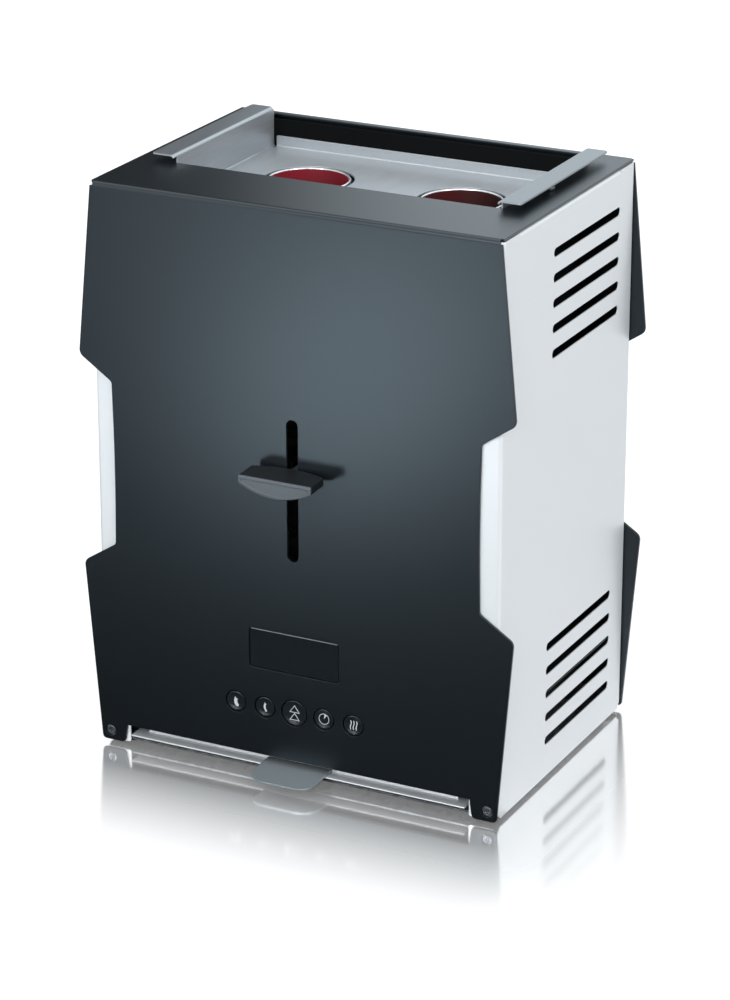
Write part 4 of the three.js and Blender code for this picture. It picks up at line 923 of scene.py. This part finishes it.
low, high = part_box("display_lens")
recipe = Recipe("smoked_lens", Specular_IOR_Level=0.7)
smears = recipe.noise(70, 3)
glass = recipe.mix(smears, "11171b", "161c20")
# Painted highlight: the top edge is pale where it catches the overhead lamp. It is also rougher, like
# a cut edge.
top_edge_painted_highlight = recipe.along("Z") > high.z - lens_edge
smoked_lens = recipe.surface(
    Base_Color=recipe.mix(top_edge_painted_highlight, glass, "868e94"),
    Roughness=0.08 + 0.05 * smears + 0.4 * top_edge_painted_highlight,
)
lens = eased(merged("display_lens"), lens_edge)
piece("window_lens", lens, smoked_lens, "lens_plastic", "housing", "display_lens")

recipe = Recipe("green_board", Roughness=0.45)
tracks = recipe.node(
    "TexBrick", named={"Vector": recipe.place, "Scale": 180, "Mortar Size": 0.03}, output="Fac"
)
green_board = recipe.surface(Base_Color=recipe.mix(tracks, "1a5233", "2c7a4e"))
coat(green_board, "control_board")

key_collar = 0.001
key_collar_front = 0.0018
key_cap_depth = 0.006
key_stem = 0.0022
key_rim = 0.0009
key_dish = 0.0005
key_dish_share = 0.8
key_lip = (0.7, 0.2)
key_rim_curve = ((0.6, 0), (0.2, 0.15), (0, 0.6))
symbol_sheet = 0.00012
symbol_edge = 0.00003
symbol_line = 0.00035
sausage_widths = (0.0019, 0.0011)
sausage_radius = 0.0034
sausage_spread = math.radians(42)
arrow_half_width = 0.0031
arrow_height = 0.0043
arrow_bottoms = (-0.0043, 0.0001)
timer_radius = 0.0031
timer_wedge = (55, 85)
heat_half_height = 0.0026
heat_wave = 0.0003
heat_lines = (-0.0017, 0, 0.0017)
heat_line_half = 0.00028
symbol_steps = 12

key_plastic = mottled(
    "key_plastic", ("0e1418", "161d22"), roughness=(0.16, 0.24),
    scale=500, detail=3, Specular_IOR_Level=0.8,
)
symbol_print = mottled("symbol_print", ("9ba2a8", "b2b8bd"), roughness=(0.5, 0.5), scale=1500)


def sausage(width):
    """A bent stroke with round ends that bulges to the left."""
    centre = sausage_radius * (1 + math.cos(sausage_spread)) / 2
    outline = []
    for edge, turn in ((width / 2, 1), (-width / 2, -1)):
        for step in range(symbol_steps + 1):
            angle = math.pi - turn * sausage_spread * (1 - 2 * step / symbol_steps)
            reach = sausage_radius + edge
            outline.append((centre + reach * math.cos(angle), reach * math.sin(angle)))
        end = Vector((centre + sausage_radius * math.cos(angle), sausage_radius * math.sin(angle)))
        for step in range(1, symbol_steps):
            tip = angle + turn * math.pi * step / symbol_steps
            outline.append(end + Vector((math.cos(tip), math.sin(tip))) * turn * width / 2)
    return [outline]


def arrow(bottom):
    """An upright triangle drawn as a line."""
    corners = [Vector(c) for c in ((-arrow_half_width, 0), (arrow_half_width, 0), (0, arrow_height))]
    facing_sides = [(corners[i - 2] - corners[i - 1]).length for i in range(3)]
    weighed = [corner * side for corner, side in zip(corners, facing_sides)]
    middle = sum(weighed, Vector((0, 0))) / sum(facing_sides)
    inward = 1 - symbol_line / middle.y
    lift = Vector((0, bottom))
    return [[lift + c for c in corners], [lift + middle + (c - middle) * inward for c in corners]]


def timer():
    """A ring with a narrow wedge from its centre to the upper right."""
    ring = [round_outline(0, 0, timer_radius), round_outline(0, 0, timer_radius - symbol_line)]
    reach = timer_radius - symbol_line / 2
    wedge = [(0, 0)]
    for step in range(symbol_steps + 1):
        angle = math.radians(timer_wedge[0] + (timer_wedge[1] - timer_wedge[0]) * step / symbol_steps)
        wedge.append((reach * math.cos(angle), reach * math.sin(angle)))
    return ring, [wedge]


def heat_line(x):
    """A wavy standing line."""
    shares = [1 - 2 * step / symbol_steps for step in range(symbol_steps + 1)]
    line = [(x + heat_wave * math.sin(share * math.pi), share * heat_half_height) for share in shares]
    left = [(bow - heat_line_half, y) for bow, y in line]
    right = [(bow + heat_line_half, y) for bow, y in line]
    return [left + right[::-1]]


symbols = [
    [sausage(sausage_widths[0])],
    [sausage(sausage_widths[1])],
    [arrow(bottom) for bottom in arrow_bottoms],
    timer(),
    [heat_line(x) for x in heat_lines],
]
for number, drawings in enumerate(symbols, 1):
    low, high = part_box(f"button_{number}")
    middle = (low + high) / 2
    cap = (high.x - low.x) / 2 - key_collar
    dish = cap - 2 * key_rim
    back = low.y - high.y
    profile = [
        (0, -key_dish), (dish * key_dish_share, -key_dish), (dish, -key_dish * key_dish_share),
        (dish + key_rim * key_lip[0], -key_dish * key_lip[1]),
        *[(cap - key_rim * inwards, -key_rim * down) for inwards, down in key_rim_curve],
        (cap, -key_collar_front), (cap + key_collar, -key_collar_front),
        (cap + key_collar, -key_collar_front - key_collar), (cap, -key_collar_front - key_collar),
        (cap, -key_cap_depth), (key_stem, -key_cap_depth), (key_stem, back), (0, back),
    ]
    facing = Matrix.Translation((middle.x, low.y, middle.z)) @ upright
    key = moved(turned(profile, steps=64), facing)
    body, node = f"key_{number}", f"button_{number}"
    piece(f"key_cap_{number}", key, key_plastic, "button_plastic", body, node)
    mark = bmesh.new()
    for drawing in drawings:
        add(mark, flat_sheet(symbol_sheet, symbol_edge, *drawing))
    moved(mark, facing @ Matrix.Translation((0, 0, symbol_sheet - key_dish)))
    piece(f"symbol_{number}", mark, symbol_print, "button_plastic", body)


# Side panels
# Each side is one sheet painted silver, folded inwards at the front, the back and the
# top. Ten long vents with round ends are cut in it in two groups.
side_sheet = 0.001
side_edge = 0.0002
side_bend = 0.002
side_corner = 0.0015
side_flange = 0.016
side_foot_corner = 0.005
ledge_inset = 0.018
ledge_relief = 0.0002
vent_height = 0.0048
vent_pitch = 0.0135
vents_per_group = 5
vent_front_margin = 0.0602
vent_back_margin = 0.0182
upper_vent_drop = 0.0219
lower_vent_rise = 0.0208
side_screw_inset = 0.0047
side_screw_rise = 0.0055
side_screw_hole = 0.0019
top_screw_inset = 0.016
top_screw_y = 0.013
side_paint_skin = 0.0006

low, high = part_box("side_panel_right")
recipe = Recipe("silver_paint", Metallic=0.25)
flake = recipe.noise(3200, 2)
clouds = recipe.noise(9)
silver = recipe.mix(0.7 * flake + 0.3 * clouds, "cdd3d7", "d9dde0")
# Painted shade: the inner faces are near black instead of silver, so that the flanges seen through
# the vents stay dark.
inside_painted_shade = recipe.mix(clouds, "15191c", "1e2327")
inside = abs(recipe.along("X")) < high.x - side_paint_skin
for axis, face, sign in (("Y", low.y, 1), ("Y", high.y, -1), ("Z", high.z, -1)):
    inside = inside * (sign * (recipe.along(axis) - face) > side_paint_skin)
silver_paint = recipe.surface(
    Base_Color=recipe.mix(inside, silver, inside_painted_shade),
    Roughness=0.36 + 0.08 * flake + 0.2 * inside,
    Normal=recipe.bump(flake, depth=0.00003, strength=0.3),
)

arc = side_bend * math.pi / 2
bend_front, bend_back, bend_top = low.y + side_bend, high.y - side_bend, high.z - side_bend
flange_end = arc + side_flange - side_bend
ledge_end = bend_top + arc + (high.x - side_bend - low.x)
ledge_front, ledge_back = low.y + ledge_inset, high.y - ledge_inset
vent_ends = (low.y + vent_front_margin + vent_height / 2, high.y - vent_back_margin - vent_height / 2)


def side_foot(bend, towards):
    """The lower corner where a flange meets the wall, cut back round the foot."""
    return [
        (bend + towards * arc, low.z, 0),
        (bend + towards * arc, low.z + side_foot_corner, 0),
        (bend, low.z + side_foot_corner / 2, 0),
        (bend + towards * (side_bend - side_foot_corner), low.z, 0),
    ]


panel_outline = eased_outline([
    (bend_front - flange_end, low.z, side_corner),
    *side_foot(bend_front, -1),
    *reversed(side_foot(bend_back, 1)),
    (bend_back + flange_end, low.z, side_corner),
    (bend_back + flange_end, high.z, side_corner),
    (ledge_back + ledge_relief, high.z, 0),
    (ledge_back + ledge_relief, bend_top, 0),
    (ledge_back, bend_top, 0),
    (ledge_back, ledge_end, side_corner),
    (ledge_front, ledge_end, side_corner),
    (ledge_front, bend_top, 0),
    (ledge_front - ledge_relief, bend_top, 0),
    (ledge_front - ledge_relief, high.z, 0),
    (bend_front - flange_end, high.z, side_corner),
])
vents = []
for number in range(vents_per_group):
    step = number * vent_pitch
    for z in (high.z - upper_vent_drop - step, low.z + lower_vent_rise + step):
        vents.append(slot_outline((vent_ends[0], z), (vent_ends[1], z), vent_height))
flange_screw = arc + side_screw_inset - side_bend
screw_holes = [
    round_outline(bend_front - flange_screw, low.z + side_screw_rise, side_screw_hole),
    round_outline(bend_back + flange_screw, low.z + side_screw_rise, side_screw_hole),
    round_outline(top_screw_y, bend_top + arc + top_screw_inset - side_bend, side_screw_hole),
]
ledge_middle = (ledge_front + ledge_back) / 2
ledge_reach = (ledge_back - ledge_front + ledge_relief) / 2
for side, sign in sides.items():
    panel = flat_sheet(side_sheet, side_edge, panel_outline, *vents, *screw_holes)
    fold(panel, (ledge_middle, bend_top), (0, 1), -math.pi / 2, side_bend, side_sheet, ledge_reach)
    fold(panel, (bend_front, 0), (-1, 0), -math.pi / 2, side_bend, side_sheet)
    fold(panel, (bend_back, 0), (1, 0), -math.pi / 2, side_bend, side_sheet)
    moved(panel, Matrix(((0, 0, sign, sign * high.x), (1, 0, 0, 0), (0, 1, 0, 0), (0, 0, 0, 1))))
    piece(f"silver_side_{side}", panel, silver_paint, "side_silver", "housing", f"side_panel_{side}")


# Bun rack
# One stainless sheet, folded up at the sides and out over the cover, with a low edge
# at the back and a round hole over each basket. A black wall stands behind it.
rack_sheet = 0.001
rack_edge = 0.0002
rack_bend = 0.0018
rack_flange = 0.012
rack_overhang = 0.0043
rack_flange_setback = 0.001
rack_flange_corner = 0.002
rack_back_rise = 0.006
rack_back_relief = 0.003
rack_hole = 0.0245
rack_hole_x = 0.045
rack_hole_y = 0.028


def both_sides(right):
    """A whole outline from the corners of its right half."""
    return eased_outline([*right, *[(-x, y, ease) for x, y, ease in reversed(right)]])


low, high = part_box("bun_rack")
arc = rack_bend * math.pi / 2
rack_half = high.x - rack_flange
rack_front = low.y + rack_overhang
wall_line = rack_half - rack_bend
wall_straight = high.z - low.z - 2 * rack_bend
flange_line = wall_line + arc + wall_straight
flange_tip = flange_line + arc + rack_flange - rack_bend + rack_sheet
back_line = high.y - rack_bend
back_half = rack_half - rack_back_relief
back_tip = back_line + arc + rack_sheet + rack_back_rise - rack_bend
right = [
    (flange_line, rack_front, 0),
    (flange_line, low.y, 0),
    (flange_tip, low.y, rack_flange_corner),
    (flange_tip, high.y - rack_flange_setback, rack_flange_corner),
    (flange_line, high.y - rack_flange_setback, 0),
    (flange_line, high.y, 0),
    (wall_line, high.y, 0),
    (wall_line, back_line - rack_bend, 0),
    (back_half, back_line - rack_bend, 0),
    (back_half, back_tip, rack_sheet),
]
holes = [round_outline(x, rack_hole_y, rack_hole, steps=72) for x in (-rack_hole_x, rack_hole_x)]
rack = flat_sheet(rack_sheet, rack_edge, both_sides(right), *holes)
fold(rack, (0, back_line), (0, 1), math.pi / 2, rack_bend, rack_sheet, back_half + rack_edge)
for sign in (-1, 1):
    fold(rack, (sign * flange_line, 0), (sign, 0), -math.pi / 2, rack_bend, rack_sheet)
    fold(rack, (sign * wall_line, 0), (sign, 0), math.pi / 2, rack_bend, rack_sheet)
moved(rack, (0, 0, low.z + rack_sheet))
recipe = Recipe("satin_rack_steel", Metallic=0.55)
streaks = recipe.noise(1400, 4, (1, 0.03, 1))
# Painted shade: the flange tops are a darker grey than the rest of the sheet, for the dimmer
# surroundings they reflect.
flange_top_painted_shade = recipe.along("Z") > high.z - rack_edge
tone = recipe.mix(flange_top_painted_shade, "949a9f", "6b7176")
bright = recipe.mix(flange_top_painted_shade, "adb3b8", "7d8388")
rack_steel = recipe.surface(
    Base_Color=recipe.mix(streaks, tone, bright),
    Roughness=0.28 + 0.16 * streaks,
    Normal=recipe.bump(streaks, depth=0.00004, strength=0.25),
)
piece("folded_rack", rack, rack_steel, "rack_steel", "housing", "bun_rack")

matt_black = mottled(
    "matt_black_wall", ("030506", "07090b"), roughness=(0.6, 0.7),
    scale=30, detail=3, Specular_IOR_Level=0.06,
)
back_wall = eased(merged("rack_back_wall"), plate_edge)
piece("black_wall", back_wall, matt_black, "cover_black", "housing", "rack_back_wall")


# Cover
# Front, top and back are one steel sheet with a satin blue-black powder coat. Its
# sides flare out above and below the waist, and it is folded over the side panels.
cover_sheet = 0.0015
cover_edge = 0.0003
cover_bend = 0.0025
bend_relief = 0.0016
top_inset = 0.0005
upper_wing_reach = 0.1261
upper_wing = 0.22
waist_reach = 0.1069
waist_top = 0.207
waist_bottom = 0.1155
waist_bow = 0.001
lower_wing_reach = 0.1264
lower_wing = 0.103
foot_tab_reach = 0.118
tray_notch_reach = 0.1025
tray_notch_height = 0.0105
tray_notch_flare = 0.0015
wing_corner = 0.003
waist_corner = 0.0015
tab_corner = 0.0025
lever_slot_bottom = 0.127
lever_slot_top = 0.2053
lever_slot_width = 0.0064
window_half = 0.0265
window_bottom = 0.0631
window_top = 0.0855
window_corner = 0.0015
key_clearance = 0.0005
cover_screw_hole = 0.0031
opening_half = 0.0945
opening_front = -0.028
opening_back = 0.083
opening_corner = 0.0006
gland_x = 0.078
gland_height = 0.032
gland_hole = 0.0059

recipe = Recipe("powder_coat", Specular_IOR_Level=0.6, Specular_Tint=(0.76, 0.9, 1, 1))
peel = recipe.noise(1500, 2)
clouds = recipe.noise(7, 3)
powder_coat = recipe.surface(
    Base_Color=recipe.mix(0.5 * peel + 0.5 * clouds, "06090c", "090e12"),
    Roughness=0.31 + 0.04 * clouds + 0.04 * peel,
    Normal=recipe.bump(peel, depth=0.00004, strength=0.25),
)

low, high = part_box("cover")
top_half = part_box("side_panel_right")[1].x - top_inset
arc = cover_bend * math.pi / 2
front_line = high.z - cover_bend - low.z
back_line = front_line + arc + high.y - low.y - 2 * cover_bend
whole = back_line + arc + front_line
relief_x = top_half - bend_relief
wall = [
    (tray_notch_reach, tray_notch_height, 0),
    (tray_notch_reach + tray_notch_flare, 0, tab_corner),
    (foot_tab_reach, 0, tab_corner),
    (lower_wing_reach, lower_wing, wing_corner),
    (waist_reach, waist_bottom, waist_corner),
    (waist_reach - waist_bow, (waist_top + waist_bottom) / 2, (waist_top - waist_bottom) / 3),
    (waist_reach, waist_top, waist_corner),
    (upper_wing_reach, upper_wing, wing_corner),
    (top_half, front_line, 0),
]
right = [
    *wall,
    (relief_x, front_line, 0),
    (relief_x, front_line + arc, 0),
    (top_half, front_line + arc, 0),
    (top_half, back_line, 0),
    (relief_x, back_line, 0),
    (relief_x, back_line + arc, 0),
    *[(x, whole - y, ease) for x, y, ease in reversed(wall)],
]


def on_front(z):
    return z - low.z


def on_top(y):
    return front_line + arc + y - low.y - cover_bend


def on_back(z):
    return whole - (z - low.z)


def opening(half, bottom, top, ease):
    """A rectangle in the middle of the sheet, with eased corners."""
    return both_sides([(half, bottom, ease), (half, top, ease)])


slot_ends = (lever_slot_bottom + lever_slot_width / 2, lever_slot_top - lever_slot_width / 2)
holes = [
    slot_outline((0, on_front(slot_ends[0])), (0, on_front(slot_ends[1])), lever_slot_width),
    opening(window_half, on_front(window_bottom), on_front(window_top), window_corner),
    opening(opening_half, on_top(opening_front), on_top(opening_back), opening_corner),
    round_outline(gland_x, on_back(gland_height), gland_hole),
]
for number in range(1, len(symbols) + 1):
    key_low, key_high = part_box(f"button_{number}")
    middle = (key_low + key_high) / 2
    radius = (key_high.x - key_low.x) / 2 - key_collar + key_clearance
    holes.append(round_outline(middle.x, on_front(middle.z), radius))
screw_hole_radii = {"front": cover_screw_hole, "back": cover_screw_hole, "top": side_screw_hole}
for side in sides:
    for name, radius in screw_hole_radii.items():
        middle = middle_of(f"{name}_screw_{side}")
        along = {"front": on_front(middle.z), "back": on_back(middle.z), "top": on_top(middle.y)}
        holes.append(round_outline(middle.x, along[name], radius, steps=32))
cover = flat_sheet(cover_sheet, cover_edge, both_sides(right), *holes)
fold(cover, (0, back_line), (0, 1), -math.pi / 2, cover_bend, cover_sheet)
fold(cover, (0, front_line), (0, 1), -math.pi / 2, cover_bend, cover_sheet)
moved(cover, Matrix(((1, 0, 0, 0), (0, 0, -1, low.y), (0, 1, 0, low.z), (0, 0, 0, 1))))
piece("black_cover", cover, powder_coat, "cover_black", "housing", "cover")


# Screws
# Pan-head steel screws with a cross recess hold the cover: two in front, two behind
# and two on the top.
screw_head = 0.0027
screw_shank = 0.0015
screw_length = 0.008
screw_edge = 0.0005
cover_screw_height = 0.0013
top_screw_height = 0.002
cross_half = 0.0003
cross_reach = 0.0014

screw_steel = brushed("screw_steel", "565d63", "868e94", roughness=0.28, metal=0.85)
cross = []
for quarter in range(4):
    turn = Matrix.Rotation(quarter * math.pi / 2, 2)
    for corner in ((cross_reach, -cross_half), (cross_reach, cross_half), (cross_half, cross_half)):
        cross.append(turn @ Vector(corner))
for name, height, tilt in (
    ("front_screw", cover_screw_height, math.pi / 2),
    ("back_screw", cover_screw_height, -math.pi / 2),
    ("top_screw", top_screw_height, 0),
):
    for side in sides:
        low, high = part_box(f"{name}_{side}")
        seat = (low + high) / 2
        if tilt:
            seat.y = low.y + height if tilt > 0 else high.y - height
        else:
            seat.z = high.z - height
        screw = flat_sheet(height, screw_edge, round_outline(0, 0, screw_head), cross)
        moved(screw, (0, 0, height))
        shank = [
            (0, -screw_length), (screw_shank / 3, -screw_length),
            (screw_shank, screw_shank - screw_length), (screw_shank, height / 2), (0, height / 2),
        ]
        add(screw, turned(shank, steps=24))
        moved(screw, Matrix.Translation(seat) @ Matrix.Rotation(tilt, 4, "X"))
        piece(f"{name}_head_{side}", screw, screw_steel, "screw_steel", "housing", f"{name}_{side}")


# Cord inlet
# A moulded bush is snapped into the back of the cover. Its bore is where the cord
# goes in, to the terminal block on the base plate.
bush_radius = 0.007
bush_bore = 0.0036
bush_neck = 0.0056
bush_taper = 0.0016
bush_reach = 0.009
bush_inside = 0.005
bush_gap = 0.0003
bush_edge = 0.0004

inner = -cover_sheet - bush_gap
bush = eased(turned([
    (bush_bore, -cover_sheet - bush_inside), (bush_radius, -cover_sheet - bush_inside),
    (bush_radius, inner), (bush_neck, inner), (bush_neck, bush_gap), (bush_radius, bush_gap),
    (bush_radius - bush_taper, bush_reach), (bush_bore, bush_reach),
], steps=64), bush_edge)
bush_place = Matrix.Translation((gland_x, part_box("cover")[1].y, gland_height))
moved(bush, bush_place @ Matrix.Rotation(-math.pi / 2, 4, "X"))
piece("cord_bush", bush, moulded_black, "black_plastic", "housing", "cord_inlet")
coat(moulded_black, "terminal_block")


low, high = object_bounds()
